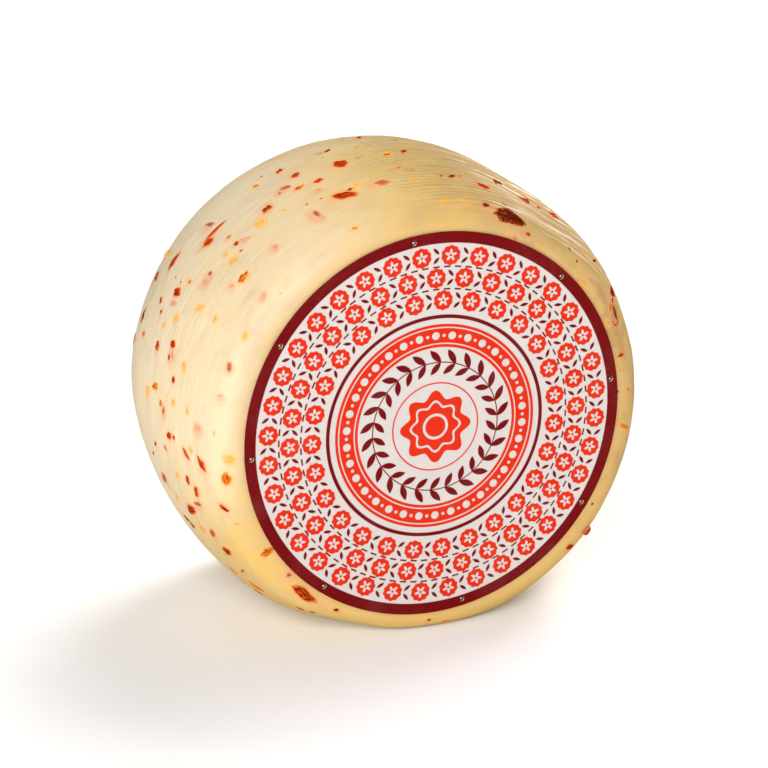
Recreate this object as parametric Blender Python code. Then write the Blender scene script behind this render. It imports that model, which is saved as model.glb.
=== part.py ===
"""A whole wheel of chilli-flecked fresh cheese, standing on edge, with a round paper label on one face.

The wheel's axis lies along Y. The labelled face looks towards -Y, and the wheel stands on the flat
that its own weight has pressed into its side, with the origin on the floor below its middle. Lengths
are in millimetres here and become metres where a mesh is made.
"""

import math
import random

import bmesh
import bpy
from mathutils import Matrix, Vector

MM = 0.001

# The wheel: a drum with a bulging side and rounded shoulders.
BELT_RADIUS = 90.0
THICKNESS = 99.0
SHOULDER_RADIUS = 10.0
SIDE_TURN = math.radians(18.0)
STANDING_FLAT_DEPTH = 10.0
SAG_REACH = 4.0
FLAT_TRIM = 0.05
WHEEL_SEGMENTS = 84
SIDE_STEPS = 12
SHOULDER_STEPS = 5

# Worked out from the sizes above: the side is one arc, and the shoulder an arc that runs on from it.
HALF = THICKNESS / 2
SIDE_HALF_WIDTH = HALF - SHOULDER_RADIUS * (1 - math.sin(SIDE_TURN))
SIDE_ARC_RADIUS = SIDE_HALF_WIDTH / math.sin(SIDE_TURN)
SIDE_LENGTH = SIDE_ARC_RADIUS * SIDE_TURN
SHOULDER_LENGTH = SHOULDER_RADIUS * (math.pi / 2 - SIDE_TURN)
SHOULDER_START_RADIUS = BELT_RADIUS - SIDE_ARC_RADIUS * (1 - math.cos(SIDE_TURN))
FACE_RADIUS = SHOULDER_START_RADIUS - SHOULDER_RADIUS * math.cos(SIDE_TURN)
EDGE_OF_FACE = SIDE_LENGTH + SHOULDER_LENGTH
AXIS_HEIGHT = BELT_RADIUS - STANDING_FLAT_DEPTH

# Where the hand-pressed side is fuller or flatter than a true drum:
# (angle round the wheel in degrees, spread, across the wheel from the belt, spread, height).
SWELLS = (
    (57.0, 14.0, -22.0, 45.0, -2.3),
    (36.0, 9.0, -28.0, 30.0, 0.9),
    (88.0, 14.0, 5.0, 40.0, 0.4),
    (112.0, 12.0, 20.0, 35.0, -0.5),
    (140.0, 16.0, 0.0, 40.0, 0.4),
    (178.0, 13.0, 26.0, 30.0, 1.1),
    (208.0, 12.0, 0.0, 35.0, -0.35),
    (236.0, 12.0, -30.0, 30.0, 0.5),
    (249.0, 14.5, -56.0, 39.0, -3.4),
    (318.0, 13.0, -24.0, 32.0, 1.0),
    (350.0, 16.0, 10.0, 35.0, -0.5),
)

# The paper label: a thin disc, pinned through eight small holes in its rim.
LABEL_RADIUS = 72.5
LABEL_THICKNESS = 0.4
LABEL_GAP = 0.3
LABEL_SEGMENTS = 96
PIN_CIRCLE_RADIUS = 70.0
PIN_HOLE_RADIUS = 1.0
PIN_HOLE_SEGMENTS = 10
PIN_CUTTER_LENGTH = 1.6
PIN_ANGLES = (7.0, 46.0, 97.0, 147.0, 182.0, 232.0, 279.0, 327.0)

# The chilli flakes of the side that the photograph shows, placed one by one:
# (angle round the wheel in degrees, across the wheel from the belt, length, width, turn in degrees).
LANDMARK_FLAKES = (
    (68.2, -48.8, 11.2, 5.6, -4.0),
    (228.5, -53.2, 10.6, 3.6, 1.0),
    (25.2, -50.5, 10.3, 4.2, 22.0),
    (29.2, -46.0, 4.2, 3.5, 81.0),
    (47.5, -22.2, 8.0, 4.0, -51.0),
    (57.8, -25.8, 7.2, 4.1, -44.0),
    (65.2, -21.0, 5.7, 2.8, -39.0),
    (72.2, -32.5, 4.7, 4.3, 13.0),
    (75.2, -46.5, 2.7, 2.1, 15.0),
    (314.5, -50.0, 4.4, 2.5, 83.0),
    (320.5, -47.5, 5.5, 4.0, 60.0),
    (107.5, -28.2, 8.9, 4.7, 36.0),
    (103.2, -26.0, 3.8, 3.3, -15.0),
    (102.0, -5.2, 7.0, 5.0, 71.0),
    (100.8, 12.0, 4.2, 2.3, -64.0),
    (91.0, -8.2, 3.5, 2.5, -33.0),
    (86.2, -5.8, 4.2, 2.3, -51.0),
    (111.8, 1.5, 4.3, 2.8, -84.0),
    (113.0, 13.5, 4.7, 2.3, -76.0),
    (109.2, -11.5, 3.8, 3.2, -16.0),
    (115.8, -4.0, 4.4, 3.2, 52.0),
    (114.0, -9.8, 4.6, 3.4, -10.0),
    (122.5, -10.2, 5.7, 3.6, -54.0),
    (126.0, -14.8, 4.2, 2.9, 62.0),
    (119.8, 12.8, 3.6, 2.2, 77.0),
    (115.5, -30.2, 4.6, 1.8, 85.0),
    (98.2, -28.8, 6.8, 3.8, -0.0),
    (86.5, -46.0, 3.0, 2.1, -27.0),
    (80.8, -46.2, 3.5, 2.1, -1.0),
    (90.2, -30.8, 3.7, 2.3, -33.0),
    (134.5, 5.2, 9.6, 2.0, 7.0),
    (137.2, 2.8, 5.3, 3.6, 66.0),
    (133.8, 13.8, 7.4, 2.9, 82.0),
    (126.2, -15.5, 3.6, 2.8, 71.0),
    (128.0, -31.8, 3.5, 3.3, -12.0),
    (136.8, -19.2, 4.2, 3.1, 15.0),
    (145.5, 22.2, 7.9, 5.6, 24.0),
    (146.0, 37.0, 9.4, 3.2, 85.0),
    (142.2, -12.8, 2.9, 2.0, 85.0),
    (138.2, -30.5, 4.7, 3.3, 1.0),
    (150.5, 2.5, 5.4, 3.3, 84.0),
    (155.5, -5.8, 4.0, 3.5, -48.0),
    (150.0, -18.2, 5.1, 1.8, 60.0),
    (138.5, -44.2, 3.2, 2.3, -39.0),
    (149.0, -46.8, 3.1, 1.9, -9.0),
    (163.8, 2.2, 4.0, 3.5, 46.0),
    (160.8, -10.5, 3.6, 2.7, 79.0),
    (163.2, -12.0, 4.2, 3.8, -50.0),
    (157.5, -46.2, 3.4, 2.6, -15.0),
    (168.0, -16.8, 2.6, 2.3, 9.0),
    (172.5, -2.8, 4.8, 2.8, 75.0),
    (181.5, -16.5, 4.2, 2.4, 62.0),
    (175.5, -36.8, 5.0, 3.4, 79.0),
    (183.8, -28.5, 5.7, 1.9, -54.0),
    (184.5, -39.0, 6.3, 2.8, -48.0),
    (181.2, -51.8, 4.1, 3.0, -73.0),
    (187.0, -50.2, 4.9, 3.3, 6.0),
    (196.0, -1.0, 9.0, 3.6, 53.0),
    (192.8, -31.5, 4.5, 3.0, 26.0),
    (196.8, -29.2, 6.1, 2.0, 72.0),
    (200.2, -21.2, 8.5, 3.9, 64.0),
    (194.8, -46.2, 4.8, 1.8, -60.0),
    (205.5, -22.5, 6.2, 2.5, 67.0),
    (205.0, -30.8, 6.1, 3.1, 57.0),
    (210.2, -34.5, 5.2, 3.5, 65.0),
    (211.0, -54.5, 4.9, 2.6, 84.0),
    (221.0, -55.2, 2.9, 1.8, -26.0),
)
# The part of the rind that the landmark flakes cover. Scattered ones keep out of it.
LANDMARK_FROM_ANGLE = 42.0
LANDMARK_TO_ANGLE = 214.0
LANDMARK_BACK_LIMIT = 40.0
FRONT_SHOULDER_LIMIT = -43.0
SCATTERED_FLAKES = 88
SCATTER_SEED = 41
SCATTER_TRIES = 40
LONGEST_SCATTERED = 8.2
SHORTEST_SCATTERED = 4.6
SLIMMEST_SCATTERED = 0.42
BROADEST_SCATTERED = 0.72
SCATTER_TURN_SPREAD = 38.0
FLAKE_RISE = 0.55
FLAKE_HALF_DEPTH = 1.1
BACK_MIDDLE_KEEP_OUT = 12.0
FLAKE_SPACING = 1.6
STANDING_KEEP_OUT_HEIGHT = 6.0

CREAM = (0.86, 0.66, 0.36, 1.0)
PAPER_WHITE = (0.86, 0.84, 0.80, 1.0)


def clear_scene():
    for item in list(bpy.data.objects):
        bpy.data.objects.remove(item, do_unlink=True)


def make_material(name, colour, roughness):
    material = bpy.data.materials.new(name)
    material.use_nodes = True
    shader = material.node_tree.nodes["Principled BSDF"]
    shader.inputs["Base Color"].default_value = colour
    shader.inputs["Roughness"].default_value = roughness
    shader.inputs["Metallic"].default_value = 0.0
    return material


def add_object(name, bm, material=None):
    mesh = bpy.data.meshes.new(name)
    bm.to_mesh(mesh)
    bm.free()
    item = bpy.data.objects.new(name, mesh)
    bpy.context.scene.collection.objects.link(item)
    if material is not None:
        mesh.materials.append(material)
    return item


def degrees_apart(first, second):
    """The signed turn from second to first, between -180 and 180 degrees."""
    return (first - second + 180.0) % 360.0 - 180.0


def profile(across):
    """A point of the drum's outline: (place along the axis, radius, tilt of the surface's normal).

    across is the distance along the outline from the belt. It is negative towards the label.
    """
    distance = abs(across)
    if distance <= SIDE_LENGTH:
        tilt = distance / SIDE_ARC_RADIUS
        axial = SIDE_ARC_RADIUS * math.sin(tilt)
        radius = BELT_RADIUS - SIDE_ARC_RADIUS * (1 - math.cos(tilt))
    elif distance <= EDGE_OF_FACE:
        tilt = SIDE_TURN + (distance - SIDE_LENGTH) / SHOULDER_RADIUS
        axial = SIDE_HALF_WIDTH + SHOULDER_RADIUS * (math.sin(tilt) - math.sin(SIDE_TURN))
        radius = SHOULDER_START_RADIUS - SHOULDER_RADIUS * (math.cos(SIDE_TURN) - math.cos(tilt))
    else:
        tilt = math.pi / 2
        axial = HALF
        radius = FACE_RADIUS - (distance - EDGE_OF_FACE)
    side = math.copysign(1.0, across)
    return side * axial, radius, side * tilt


def swell(angle, across):
    """How far the side stands out from the true drum here. It dies away over the shoulders."""
    height = 0.0
    for centre, spread, middle, width, rise in SWELLS:
        round_part = degrees_apart(angle, centre) / spread
        across_part = (across - middle) / width
        height += rise * math.exp(-round_part**2 - across_part**2)
    fade = (EDGE_OF_FACE - abs(across)) / SHOULDER_LENGTH
    return height * min(1.0, max(0.0, fade))


def surface_point(angle, across):
    """A point of the rind and its outward normal, with the standing flat left out."""
    axial, radius, tilt = profile(across)
    turn = math.radians(angle)
    outward = Vector((math.cos(turn), 0.0, math.sin(turn)))
    normal = outward * math.cos(tilt) + Vector((0.0, math.sin(tilt), 0.0))
    place = outward * radius + Vector((0.0, axial, AXIS_HEIGHT))
    return place + normal * swell(angle, across), normal


def sagged(height):
    """The height above the floor that a point of the rind keeps once the wheel has sagged onto it."""
    if height >= SAG_REACH:
        return height
    return max(0.0, height + SAG_REACH) ** 2 / (4 * SAG_REACH) - FLAT_TRIM


def make_drum():
    """The wheel without its flakes: rings of points bridged across, closed at both faces."""
    side = [SIDE_LENGTH * (2 * i / SIDE_STEPS - 1) for i in range(SIDE_STEPS + 1)]
    shoulder = [SIDE_LENGTH + SHOULDER_LENGTH * (i + 1) / SHOULDER_STEPS for i in range(SHOULDER_STEPS)]
    stations = [-place for place in reversed(shoulder)] + side + shoulder
    bm = bmesh.new()
    rings = []
    for across in stations:
        ring = []
        for i in range(WHEEL_SEGMENTS):
            place, _ = surface_point(360.0 * i / WHEEL_SEGMENTS, across)
            place.z = sagged(place.z)
            ring.append(bm.verts.new(place))
        rings.append(ring)
    for first, second in zip(rings, rings[1:]):
        for i in range(WHEEL_SEGMENTS):
            j = (i + 1) % WHEEL_SEGMENTS
            bm.faces.new((first[i], first[j], second[j], second[i]))
    bm.faces.new(rings[0])
    bm.faces.new(rings[-1])
    bmesh.ops.recalc_face_normals(bm, faces=bm.faces)
    stand_on_flat(bm)
    return bm


def stand_on_flat(bm):
    """Trims the wheel level with the floor, which leaves the flat that it stands on."""
    everything = bm.verts[:] + bm.edges[:] + bm.faces[:]
    origin = Vector((0.0, 0.0, 0.0))
    down = Vector((0.0, 0.0, -1.0))
    cut = bmesh.ops.bisect_plane(bm, geom=everything, plane_co=origin, plane_no=down, clear_outer=True)
    rim = [part for part in cut["geom_cut"] if isinstance(part, bmesh.types.BMEdge)]
    bmesh.ops.contextual_create(bm, geom=rim)
    bmesh.ops.recalc_face_normals(bm, faces=bm.faces)


def open_to_scatter(angle, across, place):
    """True away from the landmark flakes, the label's shoulder and the wheel's standing flat."""
    on_landmarks = LANDMARK_FROM_ANGLE < angle < LANDMARK_TO_ANGLE and across < LANDMARK_BACK_LIMIT
    over_flat = place.z < STANDING_KEEP_OUT_HEIGHT
    return across > FRONT_SHOULDER_LIMIT and not on_landmarks and not over_flat


def is_clear(place, length, taken):
    """True where a flake of this length stays apart from those that are already placed."""
    return all((place - other).length > (length + size) / 2 + FLAKE_SPACING for other, size in taken)


def scatter_flakes():
    """The landmark flakes, then those spread evenly over the rest of the rind, largest first."""
    rng = random.Random(SCATTER_SEED)
    flakes = list(LANDMARK_FLAKES)
    taken = [(surface_point(angle, across)[0], length) for angle, across, length, _, _ in flakes]
    back = EDGE_OF_FACE + FACE_RADIUS - BACK_MIDDLE_KEEP_OUT
    for i in range(SCATTERED_FLAKES):
        share = i / (SCATTERED_FLAKES - 1)
        length = LONGEST_SCATTERED + (SHORTEST_SCATTERED - LONGEST_SCATTERED) * math.sqrt(share)
        width = length * rng.uniform(SLIMMEST_SCATTERED, BROADEST_SCATTERED)
        turn = rng.gauss(0.0, SCATTER_TURN_SPREAD)
        for _ in range(SCATTER_TRIES):
            angle = rng.uniform(0.0, 360.0)
            across = rng.uniform(FRONT_SHOULDER_LIMIT, back)
            kept = rng.random() < profile(across)[1] / BELT_RADIUS
            place, _ = surface_point(angle, across)
            if kept and is_clear(place, length, taken) and open_to_scatter(angle, across, place):
                flakes.append((angle, across, length, width, turn))
                taken.append((place, length))
                break
    return flakes


def add_flake(angle, across, length, width, turn, collection):
    """One flake: a flat lozenge sunk in the rind so that its back stands a little proud."""
    place, normal = surface_point(angle, across)
    round_way = Vector((-math.sin(math.radians(angle)), 0.0, math.cos(math.radians(angle))))
    across_way = round_way.cross(normal)
    if across_way.y < 0:
        across_way.negate()
    long_way = round_way * math.cos(math.radians(turn)) + across_way * math.sin(math.radians(turn))
    short_way = normal.cross(long_way)
    bm = bmesh.new()
    bmesh.ops.create_icosphere(bm, subdivisions=1, radius=1.0)
    sunk = place + normal * (FLAKE_RISE - FLAKE_HALF_DEPTH)
    shape = Matrix.Diagonal((length / 2, width / 2, FLAKE_HALF_DEPTH, 1.0))
    axes = Matrix((long_way, short_way, normal)).transposed().to_4x4()
    bm.transform(Matrix.Translation(sunk) @ axes @ shape)
    bm.transform(Matrix.Scale(MM, 4))
    flake = add_object("flake", bm)
    bpy.context.scene.collection.objects.unlink(flake)
    collection.objects.link(flake)


def fuse(item, collection):
    """Joins every flake of the collection to the wheel and keeps the one closed body."""
    union = item.modifiers.new("flakes", "BOOLEAN")
    union.operation = "UNION"
    union.operand_type = "COLLECTION"
    union.collection = collection
    union.solver = "EXACT"
    union.use_self = True
    graph = bpy.context.evaluated_depsgraph_get()
    fused = bpy.data.meshes.new_from_object(item.evaluated_get(graph))
    item.modifiers.clear()
    item.data = fused
    for flake in list(collection.objects):
        bpy.data.objects.remove(flake, do_unlink=True)
    bpy.data.collections.remove(collection)


def keep_largest_body(item):
    """Drops any loose scrap that the union left, so that the wheel is one closed body."""
    bm = bmesh.new()
    bm.from_mesh(item.data)
    bodies = []
    unseen = set(bm.verts)
    while unseen:
        body = set()
        edge_of_search = [unseen.pop()]
        while edge_of_search:
            vert = edge_of_search.pop()
            body.add(vert)
            for edge in vert.link_edges:
                other = edge.other_vert(vert)
                if other in unseen:
                    unseen.remove(other)
                    edge_of_search.append(other)
        bodies.append(body)
    largest = max(bodies, key=len)
    scraps = [vert for body in bodies if body is not largest for vert in body]
    bmesh.ops.delete(bm, geom=scraps, context="VERTS")
    bm.to_mesh(item.data)
    bm.free()


def make_cheese_wheel():
    material = make_material("cheese_rind", CREAM, 0.3)
    bm = make_drum()
    bm.transform(Matrix.Scale(MM, 4))
    wheel = add_object("cheese_wheel", bm, material)
    collection = bpy.data.collections.new("flakes")
    bpy.context.scene.collection.children.link(collection)
    for flake in scatter_flakes():
        add_flake(*flake, collection)
    fuse(wheel, collection)
    keep_largest_body(wheel)
    return wheel


def disc_along_y(bm, radius, length, segments, middle):
    """A closed cylinder along Y whose middle is at the given point."""
    lay_down = Matrix.Rotation(math.pi / 2, 4, "X")
    bmesh.ops.create_cone(
        bm,
        cap_ends=True,
        segments=segments,
        radius1=radius,
        radius2=radius,
        depth=length,
        matrix=Matrix.Translation(middle) @ lay_down,
    )


def make_paper_label():
    material = make_material("label_paper", PAPER_WHITE, 0.8)
    middle_y = -(HALF + LABEL_GAP + LABEL_THICKNESS / 2)
    bm = bmesh.new()
    disc_along_y(bm, LABEL_RADIUS, LABEL_THICKNESS, LABEL_SEGMENTS, Vector((0.0, middle_y, AXIS_HEIGHT)))
    bm.transform(Matrix.Scale(MM, 4))
    label = add_object("paper_label", bm, material)

    holes = bmesh.new()
    for angle in PIN_ANGLES:
        turn = math.radians(angle)
        outward = Vector((math.cos(turn), 0.0, math.sin(turn)))
        place = outward * PIN_CIRCLE_RADIUS + Vector((0.0, middle_y, AXIS_HEIGHT))
        disc_along_y(holes, PIN_HOLE_RADIUS, PIN_CUTTER_LENGTH, PIN_HOLE_SEGMENTS, place)
    holes.transform(Matrix.Scale(MM, 4))
    cutter = add_object("pin_hole_cutter", holes)
    cutter.hide_render = True
    cutter.display_type = "WIRE"

    pierce = label.modifiers.new("pin_holes", "BOOLEAN")
    pierce.operation = "DIFFERENCE"
    pierce.object = cutter
    pierce.solver = "EXACT"
    return label


def main():
    clear_scene()
    make_cheese_wheel()
    make_paper_label()


main()
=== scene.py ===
"""A whole wheel of chilli-flecked fresh cheese with a round paper label, dressed over its solid model.

The file is laid out as an add-on and is run as a script. It has one operator for the rind, one for the
chilli flakes, one for the label and one for the studio. The wheel's axis lies along Y, the labelled face
looks towards -Y, and the floor is at z = 0. Meshes are in metres; the sizes named below are in millimetres.
"""

import math
import random

import bpy
import numpy as np
from bpy.props import FloatProperty, FloatVectorProperty, IntProperty, PointerProperty
from bpy.types import Operator, Panel, PropertyGroup
from mathutils import Matrix, Vector, noise


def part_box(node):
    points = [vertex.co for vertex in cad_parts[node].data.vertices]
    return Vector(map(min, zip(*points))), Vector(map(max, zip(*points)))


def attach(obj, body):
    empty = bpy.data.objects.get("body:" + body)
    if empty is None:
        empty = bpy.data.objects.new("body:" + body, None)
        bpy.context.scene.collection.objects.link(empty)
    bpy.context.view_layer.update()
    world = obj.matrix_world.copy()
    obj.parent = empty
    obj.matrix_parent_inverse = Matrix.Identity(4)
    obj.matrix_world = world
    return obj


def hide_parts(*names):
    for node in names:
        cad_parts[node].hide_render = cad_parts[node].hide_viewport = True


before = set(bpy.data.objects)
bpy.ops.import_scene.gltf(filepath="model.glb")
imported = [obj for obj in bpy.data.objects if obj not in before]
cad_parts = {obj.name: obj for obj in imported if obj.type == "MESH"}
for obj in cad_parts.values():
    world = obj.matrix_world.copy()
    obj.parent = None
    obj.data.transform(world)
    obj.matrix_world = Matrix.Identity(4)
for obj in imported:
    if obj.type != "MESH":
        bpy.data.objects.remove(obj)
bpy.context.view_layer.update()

bl_info = {
    "name": "Chilli cheese wheel",
    "version": (1, 0, 0),
    "blender": (4, 5, 0),
    "location": "View3D > Sidebar > Cheese",
    "description": "Models and finishes a whole cheese wheel with chilli flakes and a paper label",
    "category": "Add Mesh",
}

MM = 0.001
TAU = 2 * math.pi

# The places that the solid model gives, in metres.
LABEL_LOW, LABEL_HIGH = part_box("paper_label")
AXIS_HEIGHT = (LABEL_LOW.z + LABEL_HIGH.z) / 2
LABEL_FRONT = LABEL_LOW.y
LABEL_RADIUS = (LABEL_HIGH.z - LABEL_LOW.z) / 2

# The drum's outline, in millimetres: a bulging side that runs on into rounded shoulders.
BELT_RADIUS = 90.0
HALF = 49.5
SHOULDER_RADIUS = 10.0
SIDE_TURN = math.radians(18.0)
SIDE_HALF_WIDTH = HALF - SHOULDER_RADIUS * (1 - math.sin(SIDE_TURN))
SIDE_ARC_RADIUS = SIDE_HALF_WIDTH / math.sin(SIDE_TURN)
SIDE_LENGTH = SIDE_ARC_RADIUS * SIDE_TURN
SHOULDER_LENGTH = SHOULDER_RADIUS * (math.pi / 2 - SIDE_TURN)
SHOULDER_START_RADIUS = BELT_RADIUS - SIDE_ARC_RADIUS * (1 - math.cos(SIDE_TURN))
FACE_RADIUS = SHOULDER_START_RADIUS - SHOULDER_RADIUS * math.cos(SIDE_TURN)
EDGE_OF_FACE = SIDE_LENGTH + SHOULDER_LENGTH
MIDDLE_OF_FACE = EDGE_OF_FACE + FACE_RADIUS

# Where the side is fuller or flatter than a true drum:
# (angle round the wheel in degrees, spread, across the wheel from the belt, spread, height).
SWELLS = (
    (57.0, 14.0, -22.0, 45.0, -2.3),
    (36.0, 9.0, -28.0, 30.0, 0.9),
    (88.0, 14.0, 5.0, 40.0, 0.4),
    (112.0, 12.0, 20.0, 35.0, -0.5),
    (140.0, 16.0, 0.0, 40.0, 0.4),
    (178.0, 13.0, 26.0, 30.0, 1.1),
    (199.5, 1.6, 6.0, 12.0, -0.9),
    (208.0, 12.0, 0.0, 35.0, -0.35),
    (236.0, 12.0, -30.0, 30.0, 0.5),
    (249.0, 14.5, -56.0, 39.0, -3.4),
    (318.0, 13.0, -24.0, 32.0, 1.0),
    (350.0, 16.0, 10.0, 35.0, -0.5),
)

# How the wheel has sagged onto the floor: how far up the pressing reaches, and the trim of its flat.
SAG_REACH = 4.0
FLAT_TRIM = 0.05

# How far the dressed rind stays inside the solid one.
INSET = 0.12

# The pricks that pin the label.
PIN_CIRCLE_RADIUS = 70.0
PIN_HOLE_RADIUS = 1.0
NUB_RADIUS = 0.4
GROOVE_RADIUS = 0.72
GROOVE_HALF_WIDTH = 0.36
PIN_ANGLES = (7.0, 46.0, 97.0, 147.0, 182.0, 232.0, 279.0, 327.0)

# Kinds of chilli: dry red skin, dark skin, wet skin, orange bits, yellow bits, flakes veiled by a film
# of cheese, faint ones that lie deeper, and the streaks that oil leaves along the wheel.
RED = "red"
DARK = "dark"
WET = "wet"
ORANGE = "orange"
YELLOW = "yellow"
VEILED = "veiled"
FAINT = "faint"
STREAK = "streak"

# The flakes of the side that faces the camera, one by one. A program worked these rows and those of the
# small chips out from marks that were made on the photograph:
# (angle round the wheel in degrees, across the wheel from the belt, length, width, turn in degrees, kind).
LANDMARK_FLAKES = (
    (68.2, -48.8, 11.2, 5.6, -4.0, WET),
    (228.5, -53.2, 10.6, 3.6, 1.0, RED),
    (25.2, -50.5, 10.3, 4.2, 22.0, STREAK),
    (29.2, -46.0, 4.2, 3.5, 81.0, DARK),
    (47.5, -22.2, 8.0, 4.0, -51.0, RED),
    (57.8, -25.8, 7.2, 4.1, -44.0, RED),
    (65.2, -21.0, 5.7, 2.8, -39.0, DARK),
    (72.2, -32.5, 4.7, 4.3, 13.0, RED),
    (75.2, -46.5, 2.7, 2.1, 15.0, DARK),
    (314.5, -50.0, 4.4, 2.5, 83.0, RED),
    (320.5, -47.5, 5.5, 4.0, 60.0, RED),
    (107.5, -28.2, 8.9, 4.7, 36.0, RED),
    (103.2, -26.0, 3.8, 3.3, -15.0, YELLOW),
    (102.0, -5.2, 7.0, 5.0, 71.0, RED),
    (100.8, 12.0, 4.2, 2.3, -64.0, DARK),
    (91.0, -8.2, 3.5, 2.5, -33.0, ORANGE),
    (86.2, -5.8, 4.2, 2.3, -51.0, DARK),
    (111.8, 1.5, 4.3, 2.8, -84.0, RED),
    (113.0, 13.5, 4.7, 2.3, -76.0, RED),
    (109.2, -11.5, 3.8, 3.2, -16.0, RED),
    (115.8, -4.0, 4.4, 3.2, 52.0, VEILED),
    (114.0, -9.8, 4.6, 3.4, -10.0, ORANGE),
    (122.5, -10.2, 5.7, 3.6, -54.0, RED),
    (126.0, -14.8, 4.2, 2.9, 62.0, YELLOW),
    (119.8, 12.8, 3.6, 2.2, 77.0, ORANGE),
    (115.5, -30.2, 4.6, 1.8, 85.0, VEILED),
    (98.2, -28.8, 6.8, 3.8, -0.0, VEILED),
    (86.5, -46.0, 3.0, 2.1, -27.0, YELLOW),
    (80.8, -46.2, 3.5, 2.1, -1.0, YELLOW),
    (90.2, -30.8, 3.7, 2.3, -33.0, YELLOW),
    (134.5, 5.2, 9.6, 2.0, 7.0, RED),
    (137.2, 2.8, 5.3, 3.6, 66.0, RED),
    (133.8, 13.8, 7.4, 2.9, 82.0, VEILED),
    (126.2, -15.5, 3.6, 2.8, 71.0, YELLOW),
    (128.0, -31.8, 3.5, 3.3, -12.0, FAINT),
    (136.8, -19.2, 4.2, 3.1, 15.0, YELLOW),
    (145.5, 22.2, 7.9, 5.6, 24.0, RED),
    (146.0, 37.0, 9.4, 3.2, 85.0, YELLOW),
    (142.2, -12.8, 2.9, 2.0, 85.0, VEILED),
    (138.2, -30.5, 4.7, 3.3, 1.0, ORANGE),
    (150.5, 2.5, 5.4, 3.3, 84.0, RED),
    (155.5, -5.8, 4.0, 3.5, -48.0, YELLOW),
    (150.0, -18.2, 5.1, 1.8, 60.0, YELLOW),
    (138.5, -44.2, 3.2, 2.3, -39.0, FAINT),
    (149.0, -46.8, 3.1, 1.9, -9.0, YELLOW),
    (163.8, 2.2, 4.0, 3.5, 46.0, RED),
    (160.8, -10.5, 3.6, 2.7, 79.0, RED),
    (163.2, -12.0, 4.2, 3.8, -50.0, FAINT),
    (157.5, -46.2, 3.4, 2.6, -15.0, VEILED),
    (168.0, -16.8, 2.6, 2.3, 9.0, RED),
    (172.5, -2.8, 4.8, 2.8, 75.0, ORANGE),
    (181.5, -16.5, 4.2, 2.4, 62.0, RED),
    (175.5, -36.8, 5.0, 3.4, 79.0, FAINT),
    (183.8, -28.5, 5.7, 1.9, -54.0, RED),
    (184.5, -39.0, 6.3, 2.8, -48.0, RED),
    (181.2, -51.8, 4.1, 3.0, -73.0, YELLOW),
    (187.0, -50.2, 4.9, 3.3, 6.0, ORANGE),
    (196.0, -1.0, 9.0, 3.6, 53.0, VEILED),
    (192.8, -31.5, 4.5, 3.0, 26.0, RED),
    (196.8, -29.2, 6.1, 2.0, 72.0, VEILED),
    (200.2, -21.2, 8.5, 3.9, 64.0, RED),
    (194.8, -46.2, 4.8, 1.8, -60.0, RED),
    (205.5, -22.5, 6.2, 2.5, 67.0, YELLOW),
    (205.0, -30.8, 6.1, 3.1, 57.0, VEILED),
    (210.2, -34.5, 5.2, 3.5, 65.0, RED),
    (211.0, -54.5, 4.9, 2.6, 84.0, ORANGE),
    (221.0, -55.2, 2.9, 1.8, -26.0, VEILED),
)

# Two flakes that stand out at an edge of the wheel: how far in millimetres, by their place.
PROUD_FLAKES = {(320.5, -47.5): 1.1, (146.0, 37.0): 0.8}

# How the other flakes are scattered over the rest of the rind.
LANDMARK_FROM_ANGLE = 42.0
LANDMARK_TO_ANGLE = 214.0
LANDMARK_BACK_LIMIT = 40.0
FRONT_SHOULDER_LIMIT = -43.0
SCATTERED_FLAKES = 88
SCATTER_SEED = 41
SCATTER_TRIES = 40
LONGEST_SCATTERED = 8.2
SHORTEST_SCATTERED = 4.6
SLIMMEST_SCATTERED = 0.42
BROADEST_SCATTERED = 0.72
SCATTER_TURN_SPREAD = 38.0
BACK_MIDDLE_KEEP_OUT = 12.0
FLAKE_SPACING = 1.6
STANDING_KEEP_OUT_HEIGHT = 6.0
KIND_SEED = 7
SCATTERED_KINDS = (RED, DARK, ORANGE, YELLOW, VEILED, FAINT)
KIND_SHARES = (46, 10, 14, 11, 10, 9)

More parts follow.
